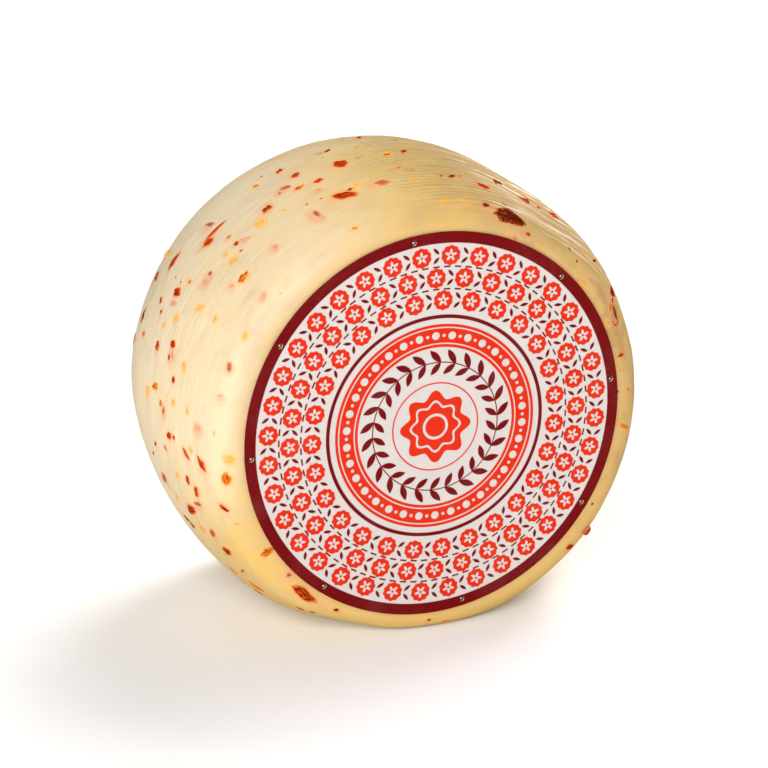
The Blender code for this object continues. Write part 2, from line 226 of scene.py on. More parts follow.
# Small chips that are too fine for the solid model, in the same form as the landmark flakes.
SMALL_CHIPS = (
    (28.0, -48.8, 2.2, 0.9, 67.0, RED),
    (27.0, -51.5, 3.7, 1.3, 26.0, ORANGE),
    (24.8, -50.5, 5.9, 1.4, 8.0, DARK),
    (22.2, -51.0, 2.2, 0.8, 37.0, RED),
    (23.0, -53.0, 1.8, 0.6, 5.0, RED),
    (22.0, -52.5, 1.6, 0.5, -62.0, DARK),
    (105.2, -26.5, 2.4, 1.7, -1.0, DARK),
    (115.0, -32.8, 7.4, 2.2, 76.0, FAINT),
    (80.0, -28.8, 4.3, 1.6, -31.0, DARK),
    (82.8, -29.0, 2.0, 1.1, -46.0, RED),
    (77.8, -28.0, 2.5, 1.1, -43.0, ORANGE),
    (90.0, 22.8, 6.5, 1.9, -68.0, RED),
    (93.8, 24.2, 4.9, 1.5, -66.0, STREAK),
    (83.8, 11.2, 3.9, 2.6, -63.0, STREAK),
    (92.0, 6.0, 7.3, 2.6, 65.0, STREAK),
    (94.8, 6.8, 2.7, 1.4, -59.0, ORANGE),
    (97.5, -5.5, 6.3, 2.5, -4.0, STREAK),
    (102.8, 11.8, 3.8, 3.0, 39.0, STREAK),
    (87.2, -8.2, 8.0, 2.2, -10.0, STREAK),
    (89.2, -24.2, 5.3, 2.2, 1.0, STREAK),
    (90.5, -6.2, 2.9, 1.7, -56.0, YELLOW),
    (115.5, -22.5, 1.2, 0.9, -63.0, DARK),
    (112.0, -23.8, 0.9, 0.6, -81.0, DARK),
    (103.5, 6.2, 1.7, 0.9, -70.0, YELLOW),
    (108.8, 32.0, 5.1, 1.2, -76.0, YELLOW),
    (116.8, 19.0, 1.8, 1.0, -84.0, DARK),
    (117.8, -5.8, 2.0, 1.7, -65.0, VEILED),
    (111.0, -18.2, 3.6, 2.2, 53.0, FAINT),
    (111.0, -46.8, 2.1, 1.0, 20.0, ORANGE),
    (91.5, -21.0, 2.3, 1.3, -39.0, ORANGE),
    (120.2, -18.0, 1.7, 1.1, 59.0, YELLOW),
    (69.0, -42.8, 2.5, 1.2, -2.0, RED),
    (53.2, -24.8, 5.2, 1.9, -50.0, RED),
    (48.0, -48.8, 1.3, 0.8, 16.0, DARK),
    (44.5, -51.2, 1.2, 0.7, 15.0, DARK),
    (38.2, -42.2, 5.7, 1.4, -63.0, DARK),
    (62.0, -53.2, 2.0, 1.1, 8.0, RED),
    (65.5, -56.2, 2.7, 1.4, 7.0, FAINT),
    (24.0, -55.5, 3.3, 1.6, 5.0, YELLOW),
    (38.8, -55.0, 3.3, 1.7, -3.0, YELLOW),
    (13.0, -53.8, 2.7, 1.2, 88.0, RED),
    (8.5, -54.5, 2.1, 1.3, -57.0, YELLOW),
    (2.5, -56.8, 1.4, 0.9, -31.0, DARK),
    (2.2, -51.8, 2.4, 1.2, -49.0, ORANGE),
    (351.5, -52.2, 5.4, 1.8, -70.0, ORANGE),
    (327.8, -54.5, 1.2, 1.0, 70.0, DARK),
    (133.2, -6.8, 2.1, 1.9, 9.0, VEILED),
    (133.2, -13.5, 2.2, 2.0, 20.0, RED),
    (131.2, -15.5, 6.0, 1.9, 42.0, FAINT),
    (133.8, -19.0, 1.6, 0.9, 31.0, DARK),
    (136.8, -13.0, 2.7, 2.3, 87.0, YELLOW),
    (152.0, 35.8, 4.7, 3.5, -69.0, RED),
    (144.2, -12.5, 4.6, 3.5, 74.0, FAINT),
    (141.2, -27.8, 2.3, 1.8, -88.0, FAINT),
    (146.8, -3.2, 2.3, 1.6, -85.0, ORANGE),
    (148.2, 10.0, 1.7, 0.5, -85.0, DARK),
    (148.2, 3.5, 1.8, 0.6, -79.0, DARK),
    (154.8, 14.2, 3.4, 2.0, -65.0, RED),
    (156.8, 9.0, 3.1, 1.8, 88.0, RED),
    (153.2, 1.0, 6.8, 3.0, 78.0, STREAK),
    (162.0, 32.2, 5.7, 4.2, 18.0, DARK),
    (158.8, 2.0, 2.5, 1.8, 80.0, YELLOW),
    (149.8, -29.5, 2.7, 2.0, -29.0, YELLOW),
    (164.8, 21.5, 5.4, 1.9, 75.0, ORANGE),
    (164.0, -9.8, 2.5, 1.5, -18.0, DARK),
    (175.2, 4.0, 4.4, 3.5, 25.0, YELLOW),
    (175.2, -9.5, 2.6, 2.3, -13.0, ORANGE),
    (173.0, -19.0, 3.1, 2.8, 34.0, YELLOW),
    (176.5, -12.2, 4.2, 3.1, -3.0, VEILED),
    (172.8, -29.2, 3.0, 1.9, -6.0, YELLOW),
    (163.8, -22.0, 3.6, 2.7, -38.0, YELLOW),
    (165.2, -46.0, 3.0, 1.4, 69.0, FAINT),
    (181.2, -20.5, 1.8, 1.6, 38.0, RED),
    (174.8, -45.8, 1.9, 0.9, -8.0, YELLOW),
    (185.5, -12.2, 2.8, 1.9, -49.0, VEILED),
    (186.8, -2.0, 2.5, 1.4, 53.0, DARK),
    (190.8, 4.5, 3.2, 1.3, 53.0, DARK),
    (182.0, -32.0, 2.6, 2.2, -1.0, YELLOW),
    (191.2, -18.8, 3.4, 2.0, 38.0, YELLOW),
    (190.8, -26.8, 3.5, 2.4, 10.0, RED),
    (199.8, -49.5, 2.1, 0.8, -61.0, YELLOW),
    (205.8, -9.0, 4.6, 2.3, -85.0, DARK),
    (207.0, -11.8, 3.6, 2.6, -87.0, DARK),
    (199.5, -9.0, 5.9, 2.1, 54.0, YELLOW),
    (216.8, -34.8, 5.5, 1.4, 59.0, VEILED),
    (240.0, -53.5, 2.3, 1.6, 13.0, RED),
    (232.5, -45.0, 3.2, 1.5, -17.0, DARK),
    (235.5, -46.8, 2.6, 1.0, -4.0, DARK),
    (268.8, -53.8, 1.6, 1.0, 5.0, RED),
    (273.8, -51.2, 3.8, 1.3, 14.0, ORANGE),
)

# Crumbs that broke off the flakes, along the wheel.
FRAGMENT_SEED = 23
FRAGMENTS_PER_FLAKE = (0, 0, 1, 1, 2, 2)
FRAGMENT_KINDS = (RED, DARK, ORANGE, YELLOW, FAINT, STREAK)
FRAGMENT_SHARES = (22, 10, 22, 18, 20, 8)
CRUMB_HEIGHT = 3.0
CRUMB_LENGTHS = (0.8, 2.3)
CRUMB_SLIMNESS = (0.45, 0.8)
CRUMB_SLIDES = (1.0, 7.0)
CRUMB_DRIFT = 2.6
CRUMB_TURN_SPREAD = 40.0

# How flakes are pressed from a ball: its segments and rings, the seeds, and the corners of torn outlines.
FLAKE_BALL = (22, 9)
CRUMB_BALL = (12, 7)
FLAKE_SEED = 100
CRUMB_SEED = 200
LONG_FLAKE = 8.5
LONG_FLAKE_CORNERS = (7, 7, 8, 8, 9)
SHORT_FLAKE_CORNERS = (4, 4, 5, 5, 6)
NICKS = 22

# Flakes shorter than this are pressed flatter, and those under a film of cheese stand this much lower.
FULL_RELIEF_LENGTH = 5.0
FILMED_RELIEF = 0.25

# The middle and the spread of the creased stretch at the upper right, in degrees round the wheel.
CREASED_MIDDLE = 52.0
CREASED_SPREAD = 21.0

# What the rind's mesh stores for its material: one channel for each kind of stain, and one for the pricks,
# whose grooves the material paints dark as shade and whose nubs it paints pale as if lit.
OIL_STAIN, VEIL_STAIN, YELLOW_STAIN, PRICK = range(4)

# The label's print, in millimetres from its middle. Rings of cells: (count, radius, shift in cells).
BLOSSOM_RINGS = ((27, 47.3, 0.0), (32, 55.6, 0.5), (36, 63.8, 0.0))
DASHED_CIRCLES = ((78, 51.45), (90, 59.7))
WREATH_LEAVES = 26
WREATH_RADIUS = 24.2
WREATH_STEM = (24.0, 24.45)
BAND_DOTS = 34
BAND_RADIUS = 34.2
BAND_EDGES = (29.9, 38.5)
BAND_LINES = ((31.0, 31.45), (36.95, 37.4))
FINE_RED_RING = (16.2, 16.75)
MAROON_RING = (40.6, 42.0)
RIM_RADIUS = 68.3
PETALS = 8.0

# How far the camera's aim lies to the right of the wheel's middle and below it, in metres.
AIM_SHIFT = 0.00058


def colour_setting(name, description, default):
    """A colour in the panel."""
    return FloatVectorProperty(
        name=name, description=description, default=default, subtype="COLOR", min=0.0, max=1.0
    )


def length_setting(name, description, default):
    """A length in the panel, in metres."""
    return FloatProperty(name=name, description=description, default=default, subtype="DISTANCE")


def power_setting(name, light, default):
    """The power of a light in the panel, in watts."""
    return FloatProperty(name=name, description=f"Power of {light}, W", default=default)


class RindSettings(PropertyGroup):
    """Sizes and colours of the rind."""

    turns: IntProperty(name="Steps round", description="Steps of the spin round the axis", default=416)
    side_rows: IntProperty(name="Side rows", description="Rows of faces across the side", default=174)
    shoulder_rows: IntProperty(name="Shoulder rows", description="Rows on each shoulder", default=14)
    back_rows: IntProperty(name="Back rows", description="Rows on the bare face", default=28)
    ridge_pitch: length_setting(
        "Ridge pitch",
        "Distance between the fine ridges that run round the side",
        0.0029,
    )
    ridge_height: length_setting("Ridge height", "Height of the ridges where they are strongest", 0.00045)
    lump_height: length_setting("Lump height", "Height of the soft unevenness of the rind", 0.0002)
    cream: colour_setting("Cream", "Paler tone of the rind", (0.61, 0.497, 0.325))
    butter: colour_setting("Butter", "Deeper tone of the rind", (0.605, 0.405, 0.13))
    oil: colour_setting("Oil stain", "Orange stain that chilli leaves round a flake", (0.68, 0.25, 0.09))
    saffron: colour_setting("Yellow stain", "Stain round the yellow bits", (0.68, 0.39, 0.10))


class FlakeSettings(PropertyGroup):
    """Sizes and colours of the chilli flakes."""

    rise: length_setting("Rise", "How far a flake's middle stands out of the rind", 0.00014)
    sink: length_setting("Sink", "How deep a flake's rim lies in the rind", 0.0004)
    overlap: FloatProperty(
        name="Overlap",
        description="How much larger a flake is with its oily fringe than without it",
        default=1.42,
    )
    film: length_setting("Film", "How far the oily fringe of a flake stands above the rind", 0.00004)
    crumple: length_setting("Crumple", "Depth of the folds in a flake", 0.00025)
    red: colour_setting("Red skin", "Body colour of a red flake", (0.40, 0.029, 0.003))
    dark: colour_setting("Dark skin", "Body colour of a dark wet flake", (0.17, 0.020, 0.003))
    orange: colour_setting("Orange bit", "Body colour of an orange bit", (0.62, 0.15, 0.014))
    yellow: colour_setting("Yellow bit", "Body colour of a yellow bit", (0.68, 0.36, 0.06))
    veiled: colour_setting(
        "Veiled flake",
        "Colour of a flake that lies under a film of cheese",
        (0.42, 0.055, 0.009),
    )


class LabelSettings(PropertyGroup):
    """Sizes and colours of the paper label."""

    thickness: length_setting("Thickness", "Thickness of the paper", 0.00012)
    ripple: length_setting("Ripple", "How far the paper cockles away from flat", 0.00026)
    rings: IntProperty(name="Rings", description="Rings of faces in the sheet", default=36)
    paper: colour_setting("Paper", "Colour of the bare paper", (0.54, 0.49, 0.465))
    red_ink: colour_setting("Red ink", "Colour of the red print", (0.565, 0.021, 0.004))
    maroon_ink: colour_setting("Maroon ink", "Colour of the maroon print", (0.135, 0.0020, 0.0030))


class StudioSettings(PropertyGroup):
    """The camera's place and the lights."""

    camera_turn: FloatProperty(
        name="Camera turn",
        description="Turn of the camera round the wheel from the label's middle",
        default=math.radians(-22.25),
        subtype="ANGLE",
    )
    camera_rise: FloatProperty(
        name="Camera rise",
        description="Height of the camera above the wheel's axis, as an angle",
        default=math.radians(19.93),
        subtype="ANGLE",
    )
    camera_distance: length_setting(
        "Camera distance",
        "Distance from the camera to the wheel's middle",
        1.123,
    )
    lens: FloatProperty(name="Lens", description="Focal length on a 36 mm sensor", default=141.52)
    surround: FloatProperty(
        name="Surround",
        description="Brightness of the white surround",
        default=0.18,
        min=0.0,
    )
    key_power: power_setting("Key", "the light at front left", 32.5)
    side_power: power_setting("Side", "the low light at the left", 14.0)
    top_power: power_setting("Top", "the light overhead", 1.5)
    back_power: power_setting("Back", "the high light behind", 54.0)
    fill_power: power_setting("Fill", "the weak light at the right", 2.0)
    glint_power: power_setting("Glint", "the small light for the glints", 4.5)
    floor_radius: length_setting("Floor radius", "Radius of the pale floor", 6.0)


# ---------------------------------------------------------------- shape of the rind


def degrees_apart(first, second):
    """The signed turn from second to first, between -180 and 180 degrees."""
    return (first - second + 180.0) % 360.0 - 180.0


def smooth_step(value, low, high):
    """0 below low, 1 above high and a soft change between them."""
    share = np.clip((value - low) / (high - low), 0.0, 1.0)
    return share * share * (3 - 2 * share)


def outline(across):
    """Place along the axis, radius and tilt of the normal of the drum, this far across from the belt."""
    distance = np.abs(across)
    on_side = distance <= SIDE_LENGTH
    shoulder_tilt = SIDE_TURN + (distance - SIDE_LENGTH) / SHOULDER_RADIUS
    tilt = np.where(on_side, distance / SIDE_ARC_RADIUS, np.minimum(shoulder_tilt, math.pi / 2))
    side_axial = SIDE_ARC_RADIUS * np.sin(tilt)
    side_radius = BELT_RADIUS - SIDE_ARC_RADIUS * (1 - np.cos(tilt))
    shoulder_axial = SIDE_HALF_WIDTH + SHOULDER_RADIUS * (np.sin(tilt) - math.sin(SIDE_TURN))
    shoulder_radius = SHOULDER_START_RADIUS - SHOULDER_RADIUS * (math.cos(SIDE_TURN) - np.cos(tilt))
    axial = np.where(on_side, side_axial, shoulder_axial)
    radius = np.where(on_side, side_radius, shoulder_radius) - np.maximum(distance - EDGE_OF_FACE, 0.0)
    side = np.where(np.asarray(across) < 0, -1.0, 1.0)
    return side * axial, radius, side * tilt


def across_of(axial, radius):
    """How far across from the belt a point lies, measured along the drum's outline."""
    depth = np.abs(axial)
    side_tilt = np.arctan2(depth, radius - (BELT_RADIUS - SIDE_ARC_RADIUS))
    shoulder_middle = SIDE_HALF_WIDTH - SHOULDER_RADIUS * math.sin(SIDE_TURN)
    shoulder_tilt = np.arctan2(depth - shoulder_middle, radius - FACE_RADIUS)
    side = side_tilt * SIDE_ARC_RADIUS
    shoulder = SIDE_LENGTH + (shoulder_tilt - SIDE_TURN) * SHOULDER_RADIUS
    face = MIDDLE_OF_FACE - radius
    distance = np.where(side <= SIDE_LENGTH, side, np.where(radius >= FACE_RADIUS, shoulder, face))
    return np.where(axial < 0, -distance, distance)


def swell(angle, across):
    """How far the side stands out from the true drum here. It dies away over the shoulders."""
    height = np.zeros(np.shape(angle))
    for centre, spread, middle, width, rise in SWELLS:
        round_part = degrees_apart(angle, centre) / spread
        across_part = (across - middle) / width
        height = height + rise * np.exp(-round_part**2 - across_part**2)
    return height * np.clip((EDGE_OF_FACE - np.abs(across)) / SHOULDER_LENGTH, 0.0, 1.0)


def surface(angle, across, height):
    """Points of the rind in millimetres, this high above the true drum."""
    axial, radius, tilt = outline(across)
    turn = np.radians(angle)
    reach = radius + height * np.cos(tilt)
    places = (reach * np.cos(turn), axial + height * np.sin(tilt), AXIS_HEIGHT / MM + reach * np.sin(turn))
    return np.stack(places, axis=-1)


def sagged(height):
    """The height above the floor that points of the rind keep once the wheel has sagged onto it."""
    pressed = np.maximum(height + SAG_REACH, 0.0) ** 2 / (4 * SAG_REACH) - FLAT_TRIM
    return np.maximum(np.where(height >= SAG_REACH, height, pressed), 0.0)


def place_of(points):
    """The angle round the wheel and the distance across it of points in millimetres."""
    x = points[..., 0]
    z = points[..., 2] - AXIS_HEIGHT / MM
    return np.degrees(np.arctan2(z, x)) % 360.0, across_of(points[..., 1], np.hypot(x, z))


def rind_noise(angle, across, round_size, across_size, shift):
    """Smooth noise between -1 and 1, with grains of these sizes in millimetres round and across."""
    grain = np.array((round_size, across_size, round_size))
    points = surface(angle, across, 0.0) / grain + shift
    return np.array([noise.noise(Vector(point)) for point in points])


def ridges(settings, angle, across):
    """The fine ridges that run round the side. They are strongest on the flattened stretch."""
    drift = 1.6 * rind_noise(angle, across, 60.0, 26.0, 5.3) + 0.6 * rind_noise(angle, across, 22.0, 7.0, 9.1)
    phase = TAU * (across + drift) / (settings.ridge_pitch / MM)
    crest = (0.5 + 0.5 * np.cos(phase)) ** 2.2
    flattened = np.exp(-((degrees_apart(angle, CREASED_MIDDLE) / CREASED_SPREAD) ** 2))
    plain = 0.14 * (1.0 - smooth_step(-across, 10.0, 32.0))
    patchy = 0.75 + 0.9 * rind_noise(angle, across, 26.0, 6.0, 2.7)
    fade = 1.0 - smooth_step(np.abs(across + 2.0), 38.0, 47.0)
    return settings.ridge_height / MM * crest * patchy * fade * (plain + 0.8 * flattened)


def lumps(settings, angle, across):
    """The soft unevenness that the mould and hands leave, none under the label."""
    broad = rind_noise(angle, across, 24.0, 18.0, 1.9)
    small = 0.45 * rind_noise(angle, across, 9.0, 7.0, 4.2)
    pores = 0.16 * rind_noise(angle, across, 3.4, 2.2, 7.7)
    fade = smooth_step(across, -EDGE_OF_FACE - 1.0, -EDGE_OF_FACE + 8.0)
    return settings.lump_height / MM * (broad + small + pores) * fade


def relief(settings, angle, across):
    """Height of the finished rind above the true drum, without what the flakes do to it."""
    inset = INSET * smooth_step(EDGE_OF_FACE - np.abs(across), 0.0, 6.0)
    return swell(angle, across) + ridges(settings, angle, across) + lumps(settings, angle, across) - inset


# ---------------------------------------------------------------- places of the flakes


class Flake:
    """One flake's place and axes on the rind, in millimetres."""

    def __init__(self, angle, across, length, width, turn, kind):
        self.angle = angle
        self.across = across
        self.length = length
        self.width = width
        self.kind = kind
        self.place = surface(angle, across, float(swell(angle, across)))
        _, _, tilt = outline(across)
        around = math.radians(angle)
        outward = Vector((math.cos(around), 0.0, math.sin(around)))
        normal = outward * math.cos(tilt) + Vector((0.0, math.sin(tilt), 0.0))
        round_way = Vector((-math.sin(around), 0.0, math.cos(around)))
        across_way = round_way.cross(normal)
        if across_way.y < 0:
            across_way.negate()
        self.round_way = round_way
        self.normal = normal
        long_way = round_way * math.cos(math.radians(turn)) + across_way * math.sin(math.radians(turn))
        self.long_way = np.array(long_way)
        self.short_way = np.array(normal.cross(long_way))

    def shares(self, points, length, width, slide=0.0):
        """How far out points lie, as a share of an oval of this size; slide moves it round the wheel."""
        offset = points - self.place - slide * np.array(self.round_way)
        along = offset @ self.long_way / (length / 2)
        aside = offset @ self.short_way / (width / 2)
        depth = offset @ np.array(self.normal) / (length / 2 + 4.0)
        return np.sqrt(along**2 + aside**2 + depth**2)

    def spread(self, along, aside):
        """Angle and across distance of points this far along and aside from the flake's middle."""
        flat = self.place + np.outer(along, self.long_way) + np.outer(aside, self.short_way)
        return place_of(flat)


def open_to_scatter(angle, across, place):
    """True away from the landmark flakes, the label's shoulder and the wheel's standing flat."""
    on_landmarks = LANDMARK_FROM_ANGLE < angle < LANDMARK_TO_ANGLE and across < LANDMARK_BACK_LIMIT
    over_flat = place[2] < STANDING_KEEP_OUT_HEIGHT
    return across > FRONT_SHOULDER_LIMIT and not on_landmarks and not over_flat


def is_clear(place, length, taken):
    """True where a flake of this length stays apart from those that are already placed."""
    return all(np.linalg.norm(place - other) > (length + size) / 2 + FLAKE_SPACING for other, size in taken)


def all_flakes():
    """The landmark flakes, then those spread evenly over the rest of the rind, largest first."""
    rng = random.Random(SCATTER_SEED)
    kinds = random.Random(KIND_SEED)
    flakes = [Flake(*row) for row in LANDMARK_FLAKES]
    taken = [(flake.place, flake.length) for flake in flakes]
    back = MIDDLE_OF_FACE - BACK_MIDDLE_KEEP_OUT
    for i in range(SCATTERED_FLAKES):
        share = i / (SCATTERED_FLAKES - 1)
        length = LONGEST_SCATTERED + (SHORTEST_SCATTERED - LONGEST_SCATTERED) * math.sqrt(share)
        width = length * rng.uniform(SLIMMEST_SCATTERED, BROADEST_SCATTERED)
        turn = rng.gauss(0.0, SCATTER_TURN_SPREAD)
        for _ in range(SCATTER_TRIES):
            angle = rng.uniform(0.0, 360.0)
            across = rng.uniform(FRONT_SHOULDER_LIMIT, back)
            kept = rng.random() < outline(across)[1] / BELT_RADIUS
            place = surface(angle, across, float(swell(angle, across)))
            if kept and is_clear(place, length, taken) and open_to_scatter(angle, across, place):
                kind = kinds.choices(SCATTERED_KINDS, KIND_SHARES)[0]
                flakes.append(Flake(angle, across, length, width, turn, kind))
                taken.append((place, length))
                break
    return flakes


def small_chips(flakes):
    """The small chips: those placed one by one, and crumbs that broke off the flakes along the wheel."""
    rng = random.Random(FRAGMENT_SEED)
    chips = [Flake(*row) for row in SMALL_CHIPS]
    for flake in flakes[len(LANDMARK_FLAKES) :]:
        for _ in range(rng.choice(FRAGMENTS_PER_FLAKE)):
            slide = rng.choice((-1, 1)) * (flake.length * 0.6 + rng.uniform(*CRUMB_SLIDES))
            drift = rng.gauss(0.0, CRUMB_DRIFT)
            angle = (flake.angle + math.degrees(slide / outline(flake.across)[1])) % 360.0
            across = flake.across + drift
            length = rng.uniform(*CRUMB_LENGTHS)
            width = length * rng.uniform(*CRUMB_SLIMNESS)
            turn = rng.gauss(0.0, CRUMB_TURN_SPREAD)
            kind = rng.choices(FRAGMENT_KINDS, FRAGMENT_SHARES)[0]
            chip = Flake(angle, across, length, width, turn, kind)
            if across > 1.5 - EDGE_OF_FACE and chip.place[2] > CRUMB_HEIGHT:
                chips.append(chip)
    return chips


# ---------------------------------------------------------------- small helpers for objects


def deselect_all():
    if bpy.context.mode != "OBJECT":
        bpy.ops.object.mode_set(mode="OBJECT")
    bpy.ops.object.select_all(action="DESELECT")


def activate(item):
    """Makes one object the only selected and the active one."""
    deselect_all()
    item.select_set(True)
    bpy.context.view_layer.objects.active = item


def named(item, name, material):
    """Gives an object and its mesh their name and their one material."""
    item.name = name
    item.data.name = name
    item.data.materials.clear()
    item.data.materials.append(material)


def settle_place(item):
    """Moves an object's place into its mesh, so that the object itself sits at the origin."""
    activate(item)
    bpy.ops.object.transform_apply(location=True, rotation=True, scale=True)


def apply_modifiers(item):
    activate(item)
    for modifier in list(item.modifiers):
        bpy.ops.object.modifier_apply(modifier=modifier.name)


def points_of(mesh):
    """The mesh's vertices in millimetres, as an array."""
    places = np.empty(len(mesh.vertices) * 3)
    mesh.vertices.foreach_get("co", places)
    return places.reshape(-1, 3) / MM


def set_points(mesh, points):
    """Moves the mesh's vertices to these places, given in millimetres."""
    mesh.vertices.foreach_set("co", (points * MM).ravel())
    mesh.update()


def store_colours(mesh, name, colours):
    """Keeps one colour for each vertex, for the material to read."""
    layer = mesh.color_attributes.new(name, "FLOAT_COLOR", "POINT")
    layer.data.foreach_set("color", np.asarray(colours, np.float32).ravel())


def finish_piece(item, replaced=()):
    """Lets a finished piece ride on the wheel's body and hides the parts of the solid model that it stands
    for.
    """
    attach(item, "root")
    for node in replaced:
        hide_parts(node)


# ---------------------------------------------------------------- fields: numbers worked out by nodes


class Field:
    """A number that nodes work out at each point of a surface. Arithmetic on it adds Math nodes."""

    def __init__(self, tree, socket):
        self.tree = tree
        self.socket = socket

    def maths(self, operation, *others):
        node = self.tree.nodes.new("ShaderNodeMath")
        node.operation = operation
        for entry, value in zip(node.inputs, (self, *others)):
            plug(self.tree, entry, value)
        return Field(self.tree, node.outputs["Value"])

    def __add__(self, other):
        return self.maths("ADD", other)

    def __sub__(self, other):
        return self.maths("SUBTRACT", other)

    def __mul__(self, other):
        return self.maths("MULTIPLY", other)

    def __truediv__(self, other):
        return self.maths("DIVIDE", other)

    def __neg__(self):
        return self.maths("MULTIPLY", -1.0)

    def sine(self):
        return self.maths("SINE")

    def cosine(self):
        return self.maths("COSINE")

    def size(self):
        return self.maths("ABSOLUTE")

    def fraction(self):
        return self.maths("FRACT")

    def smaller(self, other):
        return self.maths("MINIMUM", other)

    def larger(self, other):
        return self.maths("MAXIMUM", other)

    def step(self, low, high, start=0.0, end=1.0):
        """A soft change from start to end as the field goes from low to high."""
        node = self.tree.nodes.new("ShaderNodeMapRange")
        node.interpolation_type = "SMOOTHSTEP"
        plug(self.tree, node.inputs["Value"], self)
        for name, value in (("From Min", low), ("From Max", high), ("To Min", start), ("To Max", end)):
            node.inputs[name].default_value = value
        return Field(self.tree, node.outputs["Result"])


def plug(tree, entry, value):
    """Links a field to a node's entry, or sets the entry to a plain value."""
    if isinstance(value, Field):
        tree.links.new(value.socket, entry)
    else:
        entry.default_value = value


def hypotenuse(first, second):
    return (first * first + second * second).maths("SQRT")


def turn_of(sideways, outward):
    return sideways.maths("ARCTAN2", outward)


class Surface:
    """A new material's nodes: its places in millimetres, and short ways to add patterns to it."""

    def __init__(self, name):
        self.material = bpy.data.materials.new(name)
        self.material.use_nodes = True
        self.tree = self.material.node_tree
        self.shader = self.tree.nodes["Principled BSDF"]
        coordinates = self.tree.nodes.new("ShaderNodeTexCoord")
        self.place = coordinates.outputs["Object"]
        split = self.tree.nodes.new("ShaderNodeSeparateXYZ")
        self.tree.links.new(self.place, split.inputs["Vector"])
        self.x = Field(self.tree, split.outputs["X"]) / MM
        self.y = Field(self.tree, split.outputs["Y"]) / MM
        self.height = Field(self.tree, split.outputs["Z"]) / MM

    def set(self, **values):
        """Sets sockets of the shader, named with _ for a space."""
        for name, value in values.items():
            plug(self.tree, self.shader.inputs[name.replace("_", " ")], value)

    def stretched(self, x_size, y_size, z_size):
        """Places for a pattern whose grains have these sizes in millimetres."""
        mapping = self.tree.nodes.new("ShaderNodeMapping")
        self.tree.links.new(self.place, mapping.inputs["Vector"])
        mapping.inputs["Scale"].default_value = [1.0 / (size * MM) for size in (x_size, y_size, z_size)]
        return Field(self.tree, mapping.outputs["Vector"])

    def noise(self, x_size, y_size, z_size, detail=2.0, roughness=0.5):
        """Noise between 0 and 1 with grains of these sizes in millimetres."""
        return self.noise_at(self.stretched(x_size, y_size, z_size), detail, roughness)

    def noise_at(self, places, detail, roughness=0.5):
        """Noise between 0 and 1 at the places of a field, with grains of size 1."""
        node = self.tree.nodes.new("ShaderNodeTexNoise")
        plug(self.tree, node.inputs["Vector"], places)
        node.inputs["Scale"].default_value = 1.0
        node.inputs["Detail"].default_value = detail
        node.inputs["Roughness"].default_value = roughness
        return Field(self.tree, node.outputs["Fac"])

    def specks(self, size, share, radius):
        """Small round specks: 1 inside a speck. Cells have this size, and this share of them has one."""
        node = self.tree.nodes.new("ShaderNodeTexVoronoi")
        plug(self.tree, node.inputs["Vector"], self.stretched(size, size, size))
        node.inputs["Scale"].default_value = 1.0
        distance = Field(self.tree, node.outputs["Distance"])
        split = self.tree.nodes.new("ShaderNodeSeparateColor")
        self.tree.links.new(node.outputs["Color"], split.inputs["Color"])
        chosen = Field(self.tree, split.outputs["Red"]).step(share, share + 0.02, 1.0, 0.0)
        return chosen * distance.step(radius / size * 0.6, radius / size, 1.0, 0.0)

    def attribute_noise(self, name, along_size, aside_size):
        """Noise stretched along each piece, from its own places kept in millimetres in an attribute."""
        places = self.tree.nodes.new("ShaderNodeAttribute")
        places.attribute_name = name
        mapping = self.tree.nodes.new("ShaderNodeMapping")
        self.tree.links.new(places.outputs["Vector"], mapping.inputs["Vector"])
        mapping.inputs["Scale"].default_value = (1.0 / along_size, 1.0 / aside_size, 1.0)
        return self.noise_at(Field(self.tree, mapping.outputs["Vector"]), 3.0)

    def channels(self, name):
        """Four fields from a mesh's stored colours."""
        node = self.tree.nodes.new("ShaderNodeAttribute")
        node.attribute_name = name
        split = self.tree.nodes.new("ShaderNodeSeparateColor")
        self.tree.links.new(node.outputs["Color"], split.inputs["Color"])
        sockets = [split.outputs[part] for part in ("Red", "Green", "Blue")] + [node.outputs["Alpha"]]
        return [Field(self.tree, socket) for socket in sockets]

    def mix(self, share, first, second):
        """A colour between two others. Each may be a plain colour or another mix."""
        node = self.tree.nodes.new("ShaderNodeMix")
        node.data_type = "RGBA"
        plug(self.tree, node.inputs["Factor"], share)
        for entry, colour in zip((node.inputs[6], node.inputs[7]), (first, second)):
            plug(self.tree, entry, colour if isinstance(colour, Field) else (*colour, 1.0))
        return Field(self.tree, node.outputs[2])

    def bump(self, height, distance, strength=1.0, normal=None):
        """Fine relief: a field from 0 to 1, standing this many millimetres high at 1."""
        node = self.tree.nodes.new("ShaderNodeBump")
        node.inputs["Strength"].default_value = strength
        node.inputs["Distance"].default_value = distance * MM
        plug(self.tree, node.inputs["Height"], height)
        if normal is not None:
            plug(self.tree, node.inputs["Normal"], normal)
        return Field(self.tree, node.outputs["Normal"])


# ---------------------------------------------------------------- rind


def outline_stations(settings):
    """Where the spun outline has its points: distances across from the belt, label's face first."""
    side = np.linspace(-SIDE_LENGTH, SIDE_LENGTH, settings.side_rows + 1)
    steps = np.arange(1, settings.shoulder_rows + 1) / settings.shoulder_rows
    shoulder = SIDE_LENGTH + SHOULDER_LENGTH * steps
    cap_radius = 2.0
    back = np.linspace(EDGE_OF_FACE, MIDDLE_OF_FACE - cap_radius, settings.back_rows + 1)[1:]
    front_rows = 3
    front = np.linspace(EDGE_OF_FACE, MIDDLE_OF_FACE - cap_radius, front_rows + 1)[1:]
    return np.concatenate((-front[::-1], -shoulder[::-1], side, shoulder, back))


